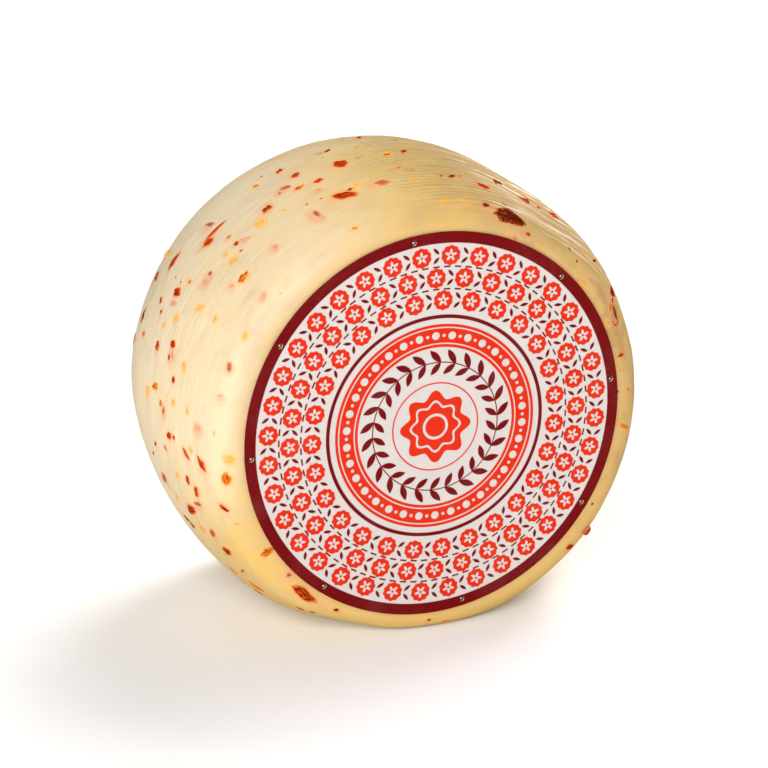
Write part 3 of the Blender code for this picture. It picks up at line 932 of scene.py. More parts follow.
def spin_drum(settings):
    """The true drum: its outline spun once round the axis, its seam merged and its ends closed."""
    stations = outline_stations(settings)
    points = surface(np.zeros(len(stations)), stations, 0.0) * MM
    edges = [(i, i + 1) for i in range(len(points) - 1)]
    mesh = bpy.data.meshes.new("cheese_rind_body")
    mesh.from_pydata(points.tolist(), edges, [])
    drum = bpy.data.objects.new("cheese_rind_body", mesh)
    bpy.context.collection.objects.link(drum)
    activate(drum)
    bpy.ops.object.mode_set(mode="EDIT")
    bpy.ops.mesh.select_all(action="SELECT")
    bpy.ops.mesh.spin(steps=settings.turns, angle=TAU, center=(0.0, 0.0, AXIS_HEIGHT), axis=(0.0, 1.0, 0.0))
    bpy.ops.mesh.select_all(action="SELECT")
    bpy.ops.mesh.remove_doubles(threshold=1e-6)
    bpy.ops.mesh.fill_holes(sides=0)
    bpy.ops.mesh.select_all(action="SELECT")
    bpy.ops.mesh.normals_make_consistent(inside=False)
    bpy.ops.object.mode_set(mode="OBJECT")
    return drum


def cut_at_pins(item, axial, add_cutter, **sizes):
    """Cuts one small form, made by an operator with these sizes, out of a piece at each of the pins."""
    cutters = []
    for angle in PIN_ANGLES:
        turn = math.radians(angle)
        reach = PIN_CIRCLE_RADIUS * MM
        place = (reach * math.cos(turn), axial, AXIS_HEIGHT + reach * math.sin(turn))
        deselect_all()
        add_cutter(location=place, rotation=(math.pi / 2, 0.0, 0.0), **sizes)
        cutters.append(bpy.context.active_object)
    activate(cutters[0])
    for cutter in cutters:
        cutter.select_set(True)
    bpy.ops.object.join()
    cutter = bpy.context.active_object
    cut = item.modifiers.new("pins", "BOOLEAN")
    cut.operation = "DIFFERENCE"
    cut.solver = "EXACT"
    cut.object = cutter
    apply_modifiers(item)
    bpy.data.objects.remove(cutter, do_unlink=True)


def prick_face(drum):
    """Eight small ring grooves in the labelled face, below the holes of the label, each round a nub."""
    cut_at_pins(
        drum,
        -HALF * MM,
        bpy.ops.mesh.primitive_torus_add,
        major_segments=18,
        minor_segments=8,
        major_radius=GROOVE_RADIUS * MM,
        minor_radius=GROOVE_HALF_WIDTH * MM,
    )


def stains_of(flake):
    """The stains that one flake leaves: (channel, length, width, slide round the wheel, strength)."""
    length = flake.length
    width = flake.width
    fringe = min(2.4, 0.45 * length)
    near = (length + fringe, width + fringe, 0.0)
    trail = (length * 1.4, width + 0.6, length * 0.7)
    if flake.kind in (RED, WET):
        return ((OIL_STAIN, *near, 0.75), (VEIL_STAIN, *trail, 0.35))
    if flake.kind == DARK:
        return ((OIL_STAIN, *near, 0.6), (VEIL_STAIN, *trail, 0.3))
    if flake.kind == ORANGE:
        return ((OIL_STAIN, *near, 0.4), (YELLOW_STAIN, length + 4.0, width + 3.0, 0.0, 0.6))
    if flake.kind == YELLOW:
        return ((YELLOW_STAIN, *near, 1.0),)
    if flake.kind == STREAK:
        return ((VEIL_STAIN, length, width, 0.0, 0.35),)
    return ((VEIL_STAIN, length * 1.2 + 2.2, width * 1.2 + 2.2, length * 0.25, 0.55),)


def paint_stains(drum, flakes):
    """Stores the chilli's stains on the rind: oil, veiled flakes and yellow in three channels."""
    points = points_of(drum.data)
    stains = np.zeros((len(points), 4))
    stains[:, PRICK] = 1.0
    for flake in flakes:
        near = np.linalg.norm(points - flake.place, axis=1) < 2 * flake.length + 6.0
        for channel, length, width, slide, strength in stains_of(flake):
            share = flake.shares(points[near], length, width, slide)
            stains[near, channel] += strength * np.exp(-(share**2.5))
    # The last channel marks the prick grooves, painted dark as shade, and their nubs, painted pale as if lit.
    for pin in np.radians(PIN_ANGLES):
        middle = (PIN_CIRCLE_RADIUS * math.cos(pin), AXIS_HEIGHT / MM + PIN_CIRCLE_RADIUS * math.sin(pin))
        distance = np.hypot(points[:, 0] - middle[0], points[:, 2] - middle[1])
        pricked = (distance < PIN_HOLE_RADIUS) & (points[:, 1] < 1.0 - HALF)
        stains[pricked, PRICK] = np.where(distance[pricked] < NUB_RADIUS, 0.5, 0.0)
    store_colours(drum.data, "stains", np.clip(stains, 0.0, 1.0))


def shape_rind(drum, settings):
    """Moves the true drum's points out to the finished rind, and stands it on its flat."""
    points = points_of(drum.data)
    angle, across = place_of(points)
    under_label = across < 1.0 - EDGE_OF_FACE
    height = relief(settings, angle, across)
    shaped = surface(angle, across, height)
    shaped[under_label] = points[under_label]
    shaped[:, 2] = sagged(shaped[:, 2])
    set_points(drum.data, shaped)


def rind_material(settings):
    """Waxy cream cheese with oil stains, veiled flakes, specks and fine lines round the side, and a painted
    sheen, painted shade and painted glints.
    """
    rind = Surface("cheese_rind")
    oil, veiled, saffron, unpricked = rind.channels("stains")
    up = rind.height - AXIS_HEIGHT / MM
    cloud = rind.noise(34.0, 26.0, 34.0, detail=3.0)
    streak = rind.noise(46.0, 1.9, 46.0, detail=3.0, roughness=0.6)
    smear = rind.noise(14.0, 3.2, 14.0, detail=2.0)
    vein = rind.noise(24.0, 2.4, 24.0, detail=4.0, roughness=0.6)
    patch = rind.noise(9.0, 6.0, 9.0, detail=3.0)
    blotch = rind.noise(6.0, 3.2, 6.0, detail=4.0, roughness=0.6)
    grain = rind.noise(1.3, 0.8, 1.3, detail=2.0)
    # The side towards the lights at the left, which is painted paler as a sheen.
    painted_sheen_side = (up * 0.26 - rind.x * 0.966).step(8.0, 84.0)
    far = rind.y.step(-22.0, 22.0)
    # The lower half, which is painted deeper and warmer as shade.
    low = up.step(-50.0, 5.0, 1.0, 0.0)
    # The side away from the key light, which is painted darker as shade.
    shaded_side = (rind.x * 0.94 + up * 0.34).step(10.0, 86.0)
    shoulder = (-rind.y).step(36.0, 49.0)
    flattened = (rind.x * 0.53 + up * 0.85).step(62.0, 86.0) * rind.y.size().step(44.0, 49.0, 1.0, 0.0)

    # Cream and butter vary at random. The side towards the lights at the left is painted paler cream as a
    # sheen, and the lower half is painted deeper butter as shade, deepest on the low half of the shoulder.
    line = (rind.y * (TAU / 2.9) + streak * 7.0 + cloud * 9.0).sine()
    tone = cloud * 0.9 + streak * 0.35 + line * 0.02 - painted_sheen_side * 0.9 - far * 0.32 + 0.46
    tone = tone + shoulder * low * 0.5 + (-rind.y).step(4.0, 42.0) * low * 0.75 - shoulder * painted_sheen_side * 0.25
    colour = rind.mix(tone.smaller(1.0).larger(0.0), tuple(settings.cream), tuple(settings.butter))
    # An olive tint in patches towards the top right, which also paints that side darker as shade.
    toward_top_right = (rind.x * 0.6 + up * 0.8).step(26.0, 88.0)
    olive = (patch * 0.6 + cloud * 0.4).step(0.38, 0.62, 0.15, 0.65) * toward_top_right
    colour = rind.mix(olive, colour, (0.42, 0.315, 0.14))
    cool = (smear * 0.5 + cloud * 0.5).step(0.50, 0.64, 0.0, 0.5) * painted_sheen_side
    colour = rind.mix(cool, colour, (0.45, 0.38, 0.29))
    pinkish = vein.step(0.52, 0.68, 0.0, 0.26) * (painted_sheen_side * 0.8 + far * 0.4).smaller(1.0)
    colour = rind.mix(pinkish, colour, (0.56, 0.38, 0.27))
    hair = rind.noise(18.0, 0.9, 18.0, detail=3.0, roughness=0.6)
    side = rind.y.size().step(34.0, 47.0, 1.0, 0.1) * painted_sheen_side * smear.step(0.40, 0.56, 0.35, 1.0)
    colour = rind.mix(hair.step(0.50, 0.62, 0.0, 0.34) * side, colour, (0.68, 0.62, 0.50))
    colour = rind.mix(hair.step(0.46, 0.34, 0.0, 0.34) * side, colour, (0.44, 0.35, 0.25))
    # An orange band painted as shade on the shoulder next to the label.
    label_edge_shade = hypotenuse(rind.x, up).step(72.0, 79.0, 0.5, 0.0) * shoulder
    colour = rind.mix(label_edge_shade, colour, (0.66, 0.42, 0.17))
    colour = rind.mix(patch.step(0.54, 0.72, 0.0, 0.28), colour, (0.54, 0.35, 0.21))

    # The side away from the key light is painted darker tan as shade, with brown, olive and pink blotches
    # over it.
    colour = rind.mix(shaded_side * 0.34, colour, (0.50, 0.31, 0.12))
    colour = rind.mix(shaded_side * blotch.step(0.50, 0.66, 0.0, 0.4), colour, (0.38, 0.26, 0.12))
    colour = rind.mix(shaded_side * blotch.step(0.50, 0.34, 0.0, 0.5), colour, (0.56, 0.38, 0.24))
    colour = rind.mix(shaded_side * vein.step(0.54, 0.64, 0.0, 0.45), colour, (0.38, 0.19, 0.08))

    # What the chilli leaves in the rind.
    ragged = grain * 0.5 + smear * 0.4 - 0.45
    colour = rind.mix((saffron + ragged * 0.4).step(0.10, 0.85, 0.0, 0.8), colour, tuple(settings.saffron))
    blush = (veiled + ragged * 0.4).step(0.05, 0.6, 0.0, 0.6)
    colour = rind.mix(blush, colour, (0.64, 0.28, 0.155))
    colour = rind.mix((oil + ragged * 0.5).step(0.08, 0.8, 0.0, 0.8), colour, tuple(settings.oil))
    colour = rind.mix(rind.specks(6.5, 0.20, 0.42) * 0.6, colour, (0.30, 0.09, 0.03))
    colour = rind.mix(rind.specks(9.0, 0.16, 0.9) * 0.45, colour, (0.54, 0.27, 0.08))

    # Sharp little folds on the flattened stretch. The stretch and the valleys between its folds are painted
    # browner as shade, and the crests are glossier and painted pale as glints.
    fold = (rind.y * (TAU / 2.1) + streak * 6.0 + cloud * 12.0).sine() * 0.5 + 0.5
    crinkle = rind.noise(9.0, 1.1, 9.0, detail=3.0)
    crease = fold * 0.7 + crinkle * 0.6
    fold_shade = flattened * crease.step(0.22, 0.50, 0.7, 0.0)
    colour = rind.mix(flattened * 0.22, colour, (0.36, 0.22, 0.10))
    colour = rind.mix(fold_shade, colour, (0.30, 0.15, 0.06))
    # Painted shade in the grooves round the pricks, and each nub painted pale as if lit.
    colour = rind.mix((unpricked - 0.5).size().step(0.0, 0.3, 1.0, 0.0), colour, (0.66, 0.60, 0.50))
    colour = rind.mix(unpricked.step(0.2, 0.4, 1.0, 0.0), colour, (0.075, 0.040, 0.022))
    # The crests of the folds, glossier and painted pale as glints.
    creased = ((rind.x * 0.64 + up * 0.77) / hypotenuse(rind.x, up)).step(0.88, 0.97) * flattened
    crest = creased * (fold + (crinkle - 0.5) * 0.5).step(0.90, 0.995) * smear.step(0.42, 0.50)
    colour = rind.mix(crest, colour, (0.85, 0.79, 0.66))
    rough = (streak * 0.6 + grain * 0.3).step(0.3, 0.6, 0.42, 0.58) + flattened * 0.2
    rind.set(Base_Color=colour, Roughness=rough - crest * 0.5)
    fine = (rind.y * (TAU / 1.15) + streak * 5.0).sine() * 0.5 + 0.5
    lines = rind.bump(fine * 0.4 + streak, 0.07, 0.4)
    folds = rind.bump(flattened * crease.step(0.3, 1.0), 0.75, 1.0, lines)
    rind.set(Normal=rind.bump(grain, 0.10, 0.4, folds))
    rind.set(
        Subsurface_Weight=0.8,
        Subsurface_Radius=(1.0, 0.55, 0.22),
        Subsurface_Scale=0.004,
        Specular_IOR_Level=0.18,
        Coat_Weight=0.03,
        Coat_Roughness=0.12,
        IOR=1.45,
    )
    return rind.material


class CHEESE_OT_rind(Operator):
    """Spin the wheel's outline, press its relief into it and stain it round its chilli"""

    bl_idname = "cheese.add_rind"
    bl_label = "Cheese rind"

    def execute(self, context):
        settings = context.scene.cheese_rind
        flakes = all_flakes()
        flakes += small_chips(flakes)
        drum = spin_drum(settings)
        prick_face(drum)
        paint_stains(drum, flakes)
        shape_rind(drum, settings)
        activate(drum)
        bpy.ops.object.shade_smooth()
        named(drum, "cheese_rind_body", rind_material(settings))
        finish_piece(drum, ("cheese_wheel",))
        return {"FINISHED"}


# ---------------------------------------------------------------- chilli flakes


def flake_blank(segments, rings):
    """A small ball that each flake is pressed from, and its faces, to be copied."""
    deselect_all()
    bpy.ops.mesh.primitive_uv_sphere_add(segments=segments, ring_count=rings, radius=1.0)
    ball = bpy.context.active_object
    mesh = ball.data
    corners = np.array([vertex.co for vertex in mesh.vertices])
    faces = [tuple(face.vertices) for face in mesh.polygons]
    bpy.data.objects.remove(ball, do_unlink=True)
    return corners, faces


def ragged_outline(rng, directions, corner_counts):
    """Reach of a torn outline in each direction: straight edges between uneven corners, with nicks."""
    count = rng.choice(corner_counts)
    start = rng.uniform(-0.5, 0.5)
    turns = [start + TAU * (i + rng.uniform(-0.24, 0.24)) / count for i in range(count)]
    reaches = [rng.uniform(0.75, 1.3) for _ in turns]
    corners = [(r * math.cos(t), r * math.sin(t)) for r, t in zip(reaches, turns)]
    reach = np.full(len(directions), np.inf)
    way = np.stack((np.cos(directions), np.sin(directions)), axis=1)
    for (ax, ay), (bx, by) in zip(corners, corners[1:] + corners[:1]):
        edge = (bx - ax, by - ay)
        facing = way[:, 0] * edge[1] - way[:, 1] * edge[0]
        share = (ax * edge[1] - ay * edge[0]) / np.where(np.abs(facing) < 1e-6, 1e-6, facing)
        reach = np.where((share > 0) & (share < reach), share, reach)
    nicks = [rng.uniform(-0.14, 0.12) for _ in range(NICKS)]
    jag = np.interp(directions / TAU + 0.5, np.linspace(0.0, 1.0, len(nicks)), nicks)
    return np.clip(reach + jag, 0.4, 1.35)


def press_flake(rng, ball, flake, settings):
    """One flake pressed from the ball: places along and aside, lift above the rind, and its tones."""
    directions = np.arctan2(ball[:, 1], ball[:, 0])
    radius = np.hypot(ball[:, 0], ball[:, 1])
    corner_counts = LONG_FLAKE_CORNERS if flake.length > LONG_FLAKE else SHORT_FLAKE_CORNERS
    reach = ragged_outline(rng, directions, corner_counts) * radius**0.8 * settings.overlap
    along = reach * np.cos(directions) * flake.length / 2
    aside = reach * np.sin(directions) * flake.width / 2
    size = min(1.0, flake.length / FULL_RELIEF_LENGTH)
    if flake.kind in (VEILED, FAINT, STREAK):
        size *= FILMED_RELIEF
    fold_turn = rng.uniform(-0.3, 0.3)
    fold_pitch = rng.uniform(1.1, 1.8) * max(size, 0.5)
    folds = np.abs(np.sin((aside + along * fold_turn) * math.pi / fold_pitch + rng.uniform(0.0, 3.0)))
    tip = rng.uniform(-0.12, 0.12) * along / flake.length + rng.uniform(-0.15, 0.15) * aside / flake.width
    middle = 1.0 - smooth_step(radius, 0.55, 0.85)
    rise = settings.rise / MM * size + tip * size + settings.crumple / MM * size * (folds - 0.5)
    rise = rise + PROUD_FLAKES.get((flake.angle, flake.across), 0.0)
    film = settings.film / MM
    top = film + rise * middle - (settings.sink / MM + film) * radius**14
    bottom = -settings.sink / MM - 0.35 * size * (1.0 - radius**2)
    lift = np.where(ball[:, 2] > -0.01, top, bottom)
    chance = np.full(len(ball), rng.random())
    ones = np.ones(len(ball))
    tones = np.stack((radius, chance, folds, ones), axis=1)
    grain = np.stack((along, aside, chance * 90.0, ones), axis=1)
    return along, aside, lift, tones, grain


def make_flakes(name, flakes, ball_steps, seed, context, material):
    """One mesh of joined flakes, each pressed from the same ball and laid on the finished rind."""
    ball, ball_faces = flake_blank(*ball_steps)
    rng = random.Random(seed)
    angles, acrosses, lifts, tones, grains, faces = [], [], [], [], [], []
    for i, flake in enumerate(flakes):
        along, aside, lift, tone, grain = press_flake(rng, ball, flake, context.scene.cheese_flakes)
        angle, across = flake.spread(along, aside)
        angles.append(angle)
        acrosses.append(across)
        lifts.append(lift)
        tones.append(tone)
        grains.append(grain)
        faces += [tuple(corner + i * len(ball) for corner in face) for face in ball_faces]
    angle = np.concatenate(angles)
    across = np.concatenate(acrosses)
    height = relief(context.scene.cheese_rind, angle, across) + np.concatenate(lifts)
    points = surface(angle, across, height)
    points[:, 2] = sagged(points[:, 2])
    mesh = bpy.data.meshes.new(name)
    mesh.from_pydata((points * MM).tolist(), [], faces)
    item = bpy.data.objects.new(name, mesh)
    context.collection.objects.link(item)
    store_colours(mesh, "tones", np.concatenate(tones))
    store_colours(mesh, "grain", np.concatenate(grains))
    tidy_normals(item)
    named(item, name, material)
    item.visible_shadow = False
    return item


def tidy_normals(item):
    """Turns a closed mesh's faces outwards and shades it smooth."""
    activate(item)
    bpy.ops.object.mode_set(mode="EDIT")
    bpy.ops.mesh.select_all(action="SELECT")
    bpy.ops.mesh.normals_make_consistent(inside=False)
    bpy.ops.object.mode_set(mode="OBJECT")
    bpy.ops.object.shade_smooth()


def flake_material(name, look):
    """Torn chilli skin with darker folds, a brighter edge and an oily fringe that fades into the rind; the
    wet flake's pale streaks are a painted reflection.
    """
    skin = Surface(name)
    rim, chance, fold, _ = skin.channels("tones")
    mottle = skin.noise(0.9, 0.9, 0.9, detail=3.0, roughness=0.65)
    fibre = skin.attribute_noise("grain", 2.6, 0.55)
    shade = fibre * 1.3 + mottle * 0.9 + chance * 0.35 - fold * 0.2
    dark = shade.step(look.dark_from, look.dark_from + 0.22)
    body = skin.mix(chance.step(0.45, 1.0, 0.0, 0.4), look.body, look.edge)
    colour = skin.mix(dark, body, look.deep)
    # Pale streaks: lighter skin on most kinds, and on the wet flake a painted reflection.
    glare = mottle * 0.8 - fibre * 0.8 + chance * 0.2
    flare = glare.step(look.streak_from, look.streak_from + 0.18, 0.0, 0.75)
    colour = skin.mix(flare, colour, look.streak)
    torn = rim + (mottle - 0.5) * 0.75 + (fibre - 0.5) * 0.5
    colour = skin.mix(torn.step(look.skin_to - 0.16, look.skin_to - 0.04, 0.0, 0.8), colour, look.edge)
    colour = skin.mix(torn.step(look.skin_to - 0.07, look.skin_to + 0.05), colour, look.fringe)
    rough = (mottle * 0.5 + fibre * 0.3).step(0.2, 0.6, look.gloss, look.gloss + 0.2)
    skin.set(Base_Color=colour, Roughness=rough)
    covered = torn.step(look.skin_to - 0.05, look.skin_to + 0.07, look.cover, look.oily)
    skin.set(Alpha=covered * rim.step(look.fade_from, 0.99, 1.0, 0.0))
    skin.set(Normal=skin.bump(fibre * 0.7 + mottle * 0.4, 0.12, 0.8))
    skin.set(Coat_Weight=look.wet, Coat_Roughness=0.08, Specular_IOR_Level=look.sheen)
    skin.set(Subsurface_Weight=look.soaked, Subsurface_Radius=(1.0, 0.4, 0.2), Subsurface_Scale=0.0015)
    return skin.material


class Look:
    """How one kind of chilli looks: its colours, and how far it covers the rind and fades into it."""

    def __init__(self, body, deep, edge, fringe, **finish):
        self.body = tuple(body)
        self.deep = tuple(deep)
        self.edge = tuple(edge)
        self.fringe = tuple(fringe)
        self.streak = finish.get("streak", self.edge)
        self.streak_from = finish.get("streak_from", 0.17)
        self.dark_from = finish.get("dark_from", 1.06)
        self.skin_to = finish.get("skin_to", 0.74)
        self.cover = finish.get("cover", 1.0)
        self.oily = finish.get("oily", 0.45)
        self.fade_from = finish.get("fade_from", 0.72)
        self.gloss = finish.get("gloss", 0.4)
        self.sheen = finish.get("sheen", 0.0)
        self.wet = finish.get("wet", 0.0)
        self.soaked = finish.get("soaked", 0.2)


def flake_looks(colours):
    """The look of each kind of chilli: body, deep, edge and fringe colours, then its finish."""
    oil = (0.64, 0.22, 0.07)
    peach = (0.62, 0.27, 0.14)
    glow = (0.68, 0.40, 0.13)
    wet_body = (0.17, 0.014, 0.001)
    # The wet flake's pale streaks are a painted reflection of the lights.
    wet_finish = {
        "streak": (0.55, 0.28, 0.20),
        "streak_from": 0.22,
        "oily": 0.7,
        "skin_to": 0.78,
        "gloss": 0.2,
        "sheen": 0.1,
        "wet": 0.12,
    }
    orange_finish = {"fade_from": 0.6, "soaked": 0.3}
    yellow_finish = {"cover": 0.75, "fade_from": 0.0, "soaked": 0.5}
    veiled_finish = {"cover": 0.85, "skin_to": 0.9, "fade_from": 0.2}
    sunken_finish = {"cover": 0.45, "skin_to": 1.3, "fade_from": 0.0}
    faint_body = (0.60, 0.19, 0.08)
    streak_body = (0.40, 0.20, 0.11)
    return {
        RED: Look(colours.red, (0.14, 0.007, 0.0005), (0.58, 0.12, 0.020), oil, oily=0.6),
        DARK: Look(colours.dark, (0.07, 0.008, 0.001), (0.40, 0.09, 0.02), oil, oily=0.5, gloss=0.3),
        WET: Look(wet_body, (0.05, 0.004, 0.0005), (0.34, 0.06, 0.010), oil, **wet_finish),
        ORANGE: Look(colours.orange, (0.38, 0.045, 0.003), (0.66, 0.28, 0.05), glow, **orange_finish),
        YELLOW: Look(colours.yellow, (0.62, 0.27, 0.03), (0.68, 0.42, 0.12), glow, **yellow_finish),
        VEILED: Look(colours.veiled, (0.28, 0.022, 0.003), (0.56, 0.14, 0.04), peach, **veiled_finish),
        FAINT: Look(faint_body, (0.50, 0.11, 0.04), (0.62, 0.25, 0.12), peach, **sunken_finish),
        STREAK: Look(streak_body, (0.32, 0.14, 0.08), (0.50, 0.28, 0.16), peach, **sunken_finish),
    }


class CHEESE_OT_flakes(Operator):
    """Press every chilli flake and crumb and bed it in the rind, one mesh for each kind"""

    bl_idname = "cheese.add_flakes"
    bl_label = "Chilli flakes"

    def execute(self, context):
        looks = flake_looks(context.scene.cheese_flakes)
        finishes = {kind: flake_material(f"{kind}_chilli_skin", look) for kind, look in looks.items()}
        flakes = all_flakes()
        chips = small_chips(flakes)
        for seed, (kind, finish) in enumerate(finishes.items()):
            large = [flake for flake in flakes if flake.kind == kind]
            small = [chip for chip in chips if chip.kind == kind]
            if large:
                name = f"{kind}_chilli_flakes"
                big = make_flakes(name, large, FLAKE_BALL, FLAKE_SEED + seed, context, finish)
                finish_piece(big, ("cheese_wheel",))
            if small:
                name = f"{kind}_chilli_crumbs"
                fine = make_flakes(name, small, CRUMB_BALL, CRUMB_SEED + seed, context, finish)
                finish_piece(fine)
        return {"FINISHED"}


# ---------------------------------------------------------------- paper label


def label_sheet(settings):
    """The sheet: a disc inset ring by ring, cockled and thickened."""
    deselect_all()
    bpy.ops.mesh.primitive_circle_add(
        vertices=192,
        radius=LABEL_RADIUS,
        fill_type="NGON",
        location=(0.0, LABEL_FRONT, AXIS_HEIGHT),
        rotation=(math.pi / 2, 0.0, 0.0),
    )
    sheet = bpy.context.active_object
    settle_place(sheet)
    bpy.ops.object.mode_set(mode="EDIT")
    bpy.ops.mesh.select_all(action="SELECT")
    for _ in range(settings.rings):
        bpy.ops.mesh.inset(thickness=LABEL_RADIUS / (settings.rings + 1), use_even_offset=False)
    bpy.ops.mesh.poke()
    bpy.ops.object.mode_set(mode="OBJECT")
    cockle(sheet, settings)
    thicken = sheet.modifiers.new("paper", "SOLIDIFY")
    thicken.thickness = settings.thickness
    thicken.offset = -1.0
    apply_modifiers(sheet)
    tidy_normals(sheet)
    return sheet


def cockle(sheet, settings):
    """Lets the paper stand in soft waves, always behind the flat front that the label may reach."""
    points = points_of(sheet.data)
    waves = []
    for point in points:
        broad = noise.noise(Vector((point[0] / 34.0, 2.5, point[2] / 26.0)))
        small = noise.noise(Vector((point[0] / 11.0, 8.5, point[2] / 12.0)))
        waves.append(0.5 + 0.5 * broad + 0.14 * small)
    depth = np.clip(np.array(waves), 0.0, 1.0) * settings.ripple / MM
    points[:, 1] = LABEL_FRONT / MM + 0.01 + depth
    set_points(sheet.data, points)


def prick_sheet(sheet):
    """Punches the eight round holes that the label is pinned through."""
    cut_at_pins(
        sheet,
        LABEL_FRONT,
        bpy.ops.mesh.primitive_cylinder_add,
        vertices=24,
        radius=PIN_HOLE_RADIUS * MM,
        depth=4 * MM,
    )


class Print:
    """The label's drawing board: distance and turn from its middle, and shapes to print."""

    def __init__(self, surface_nodes):
        up = surface_nodes.height - AXIS_HEIGHT / MM
        self.radius = hypotenuse(surface_nodes.x, up)
        self.turn = turn_of(up, surface_nodes.x)

    def band(self, low, high):
        """A ring from one radius to another."""
        middle = (low + high) / 2
        return inside((self.radius - middle).size() - (high - low) / 2)

    def cells(self, count, ring_radius, shift=0.0):
        """A ring of equal cells: how far outward and sideways a point lies from its cell's middle."""
        turns = self.turn * (count / TAU) + shift
        local = (turns.fraction() - 0.5) * (TAU / count)
        outward = self.radius * local.cosine() - ring_radius
        sideways = self.radius * local.sine()
        return outward, sideways


def inside(distance, soft=0.12):
    """1 where a distance in millimetres is below zero, with a printed edge this soft."""
    return distance.step(-soft, soft, 1.0, 0.0)


def petals(outward, sideways, count, reach, depth):
    """A flower outline: distance to an edge that waves in and out once for each petal."""
    distance = hypotenuse(outward, sideways)
    wave = (turn_of(sideways, outward) * float(count)).cosine() * depth
    return distance - wave - reach


def leaf(outward, sideways, slant, length, width, shift):
    """An almond leaf, slanted and moved outward from its cell's middle."""
    moved = outward - shift
    along = moved * math.cos(slant) + sideways * math.sin(slant)
    aside = sideways * math.cos(slant) - moved * math.sin(slant)
    share = along / (length / 2)
    return aside.size() - (share * share * -1.0 + 1.0) * (width / 2)


def blossom_rings(board):
    """Three rings of scalloped red blossoms with white hearts: red coverage."""
    red = None
    for count, ring_radius, shift in BLOSSOM_RINGS:
        outward, sideways = board.cells(count, ring_radius, shift)
        body = inside(petals(outward, sideways, 10, 3.62, 0.16))
        heart = inside(petals(outward, sideways, 5, 1.55, 0.75))
        eye = inside(hypotenuse(outward, sideways) - 0.5)
        one = body * (heart * -1.0 + 1.0) + eye
        red = one if red is None else red.larger(one)
    return red


def sprig_rings(board):
    """Small maroon leaves between the blossoms and dashed circles between their rings."""
    maroon = None
    for count, ring_radius, shift in BLOSSOM_RINGS:
        outward, sideways = board.cells(count, ring_radius, 0.5 - shift)
        upper = inside(leaf(outward, sideways, 0.75, 3.4, 1.25, 1.7))
        lower = inside(leaf(outward, sideways, -0.75, 3.4, 1.25, -1.7))
        both = upper.larger(lower)
        maroon = both if maroon is None else maroon.larger(both)
    for count, ring_radius in DASHED_CIRCLES:
        outward, sideways = board.cells(count, ring_radius)
        dash = inside((outward.size() - 0.33).larger(sideways.size() - 1.25))
        maroon = maroon.larger(dash)
    return maroon


def wreath(board):
    """A maroon wreath: a thin stem with slanted leaves on both of its sides."""
    outward, sideways = board.cells(WREATH_LEAVES, WREATH_RADIUS)
    outer = inside(leaf(outward, sideways, 0.72, 6.6, 2.5, 2.3))
    inner = inside(leaf(outward, sideways, -0.72, 6.0, 2.3, -2.3))
    stem = board.band(*WREATH_STEM)
    return outer.larger(inner).larger(stem)


def middle_flower(board):
    """The red flower in the middle, with eight petals, a white ring and a red heart."""
    wave = (board.turn * PETALS).cosine()
    body = inside(board.radius - wave * 1.5 - 12.2)
    ring = inside((board.radius - wave * 0.9 - 8.6).size() - 0.45)
    heart_ring = inside((board.radius - 4.4).size() - 0.5)
    return body * (ring.larger(heart_ring) * -1.0 + 1.0)


def red_band(board):
    """A red band with a row of white dots and two fine white lines."""
    outward, sideways = board.cells(BAND_DOTS, BAND_RADIUS)
    dots = inside(hypotenuse(outward, sideways) - 1.45)
    small_out, small_side = board.cells(BAND_DOTS, BAND_RADIUS, 0.5)
    small_dots = inside(hypotenuse(small_out, small_side) - 0.6)
    inner_line, outer_line = (board.band(*edges) for edges in BAND_LINES)
    white = dots.larger(small_dots).larger(inner_line.larger(outer_line))
    return board.band(*BAND_EDGES) * (white * -1.0 + 1.0)


def label_material(settings):
    """Printed paper: red and maroon ink on off-white stock, a little uneven, with faint fibres."""
    paper = Surface("label_paper")
    board = Print(paper)
    fibre = paper.noise(0.5, 0.5, 0.5, detail=3.0)
    cloud = paper.noise(16.0, 16.0, 13.0, detail=3.0)
    speckle = paper.noise(2.2, 2.2, 2.2, detail=2.0)
    worn = (cloud * 0.7 + speckle * 0.3).step(0.35, 0.75, 0.0, 0.75)
    stock = paper.mix(worn, tuple(settings.paper), (0.51, 0.46, 0.43))
    red = blossom_rings(board).larger(middle_flower(board)).larger(red_band(board))
    red = red.larger(board.band(*FINE_RED_RING))
    maroon = sprig_rings(board).larger(wreath(board)).larger(board.band(*MAROON_RING))
    rim = inside(-(board.radius - RIM_RADIUS))
    ink = (fibre * 0.12 + cloud * 0.1 - 0.11 + 1.0).smaller(1.0)
    colour = paper.mix(red * ink, stock, tuple(settings.red_ink))
    colour = paper.mix(maroon.larger(rim) * ink, colour, tuple(settings.maroon_ink))
    covered = red.larger(maroon).larger(rim)
    paper.set(Base_Color=colour, Roughness=covered.step(0.0, 1.0, 0.62, 0.48) + fibre * 0.06)
    paper.set(Normal=paper.bump(fibre * 0.5 + speckle, 0.05, 0.5))
    paper.set(Specular_IOR_Level=0.05)
    return paper.material


class CHEESE_OT_label(Operator):
    """Cut the round paper label, cockle and prick it, and print its pattern"""

    bl_idname = "cheese.add_label"
    bl_label = "Paper label"

    def execute(self, context):
        settings = context.scene.cheese_label
        sheet = label_sheet(settings)
        prick_sheet(sheet)
        activate(sheet)
        bpy.ops.object.shade_smooth_by_angle(angle=math.radians(35.0))
        named(sheet, "printed_label_sheet", label_material(settings))
        finish_piece(sheet, ("paper_label",))
        return {"FINISHED"}


# ---------------------------------------------------------------- studio


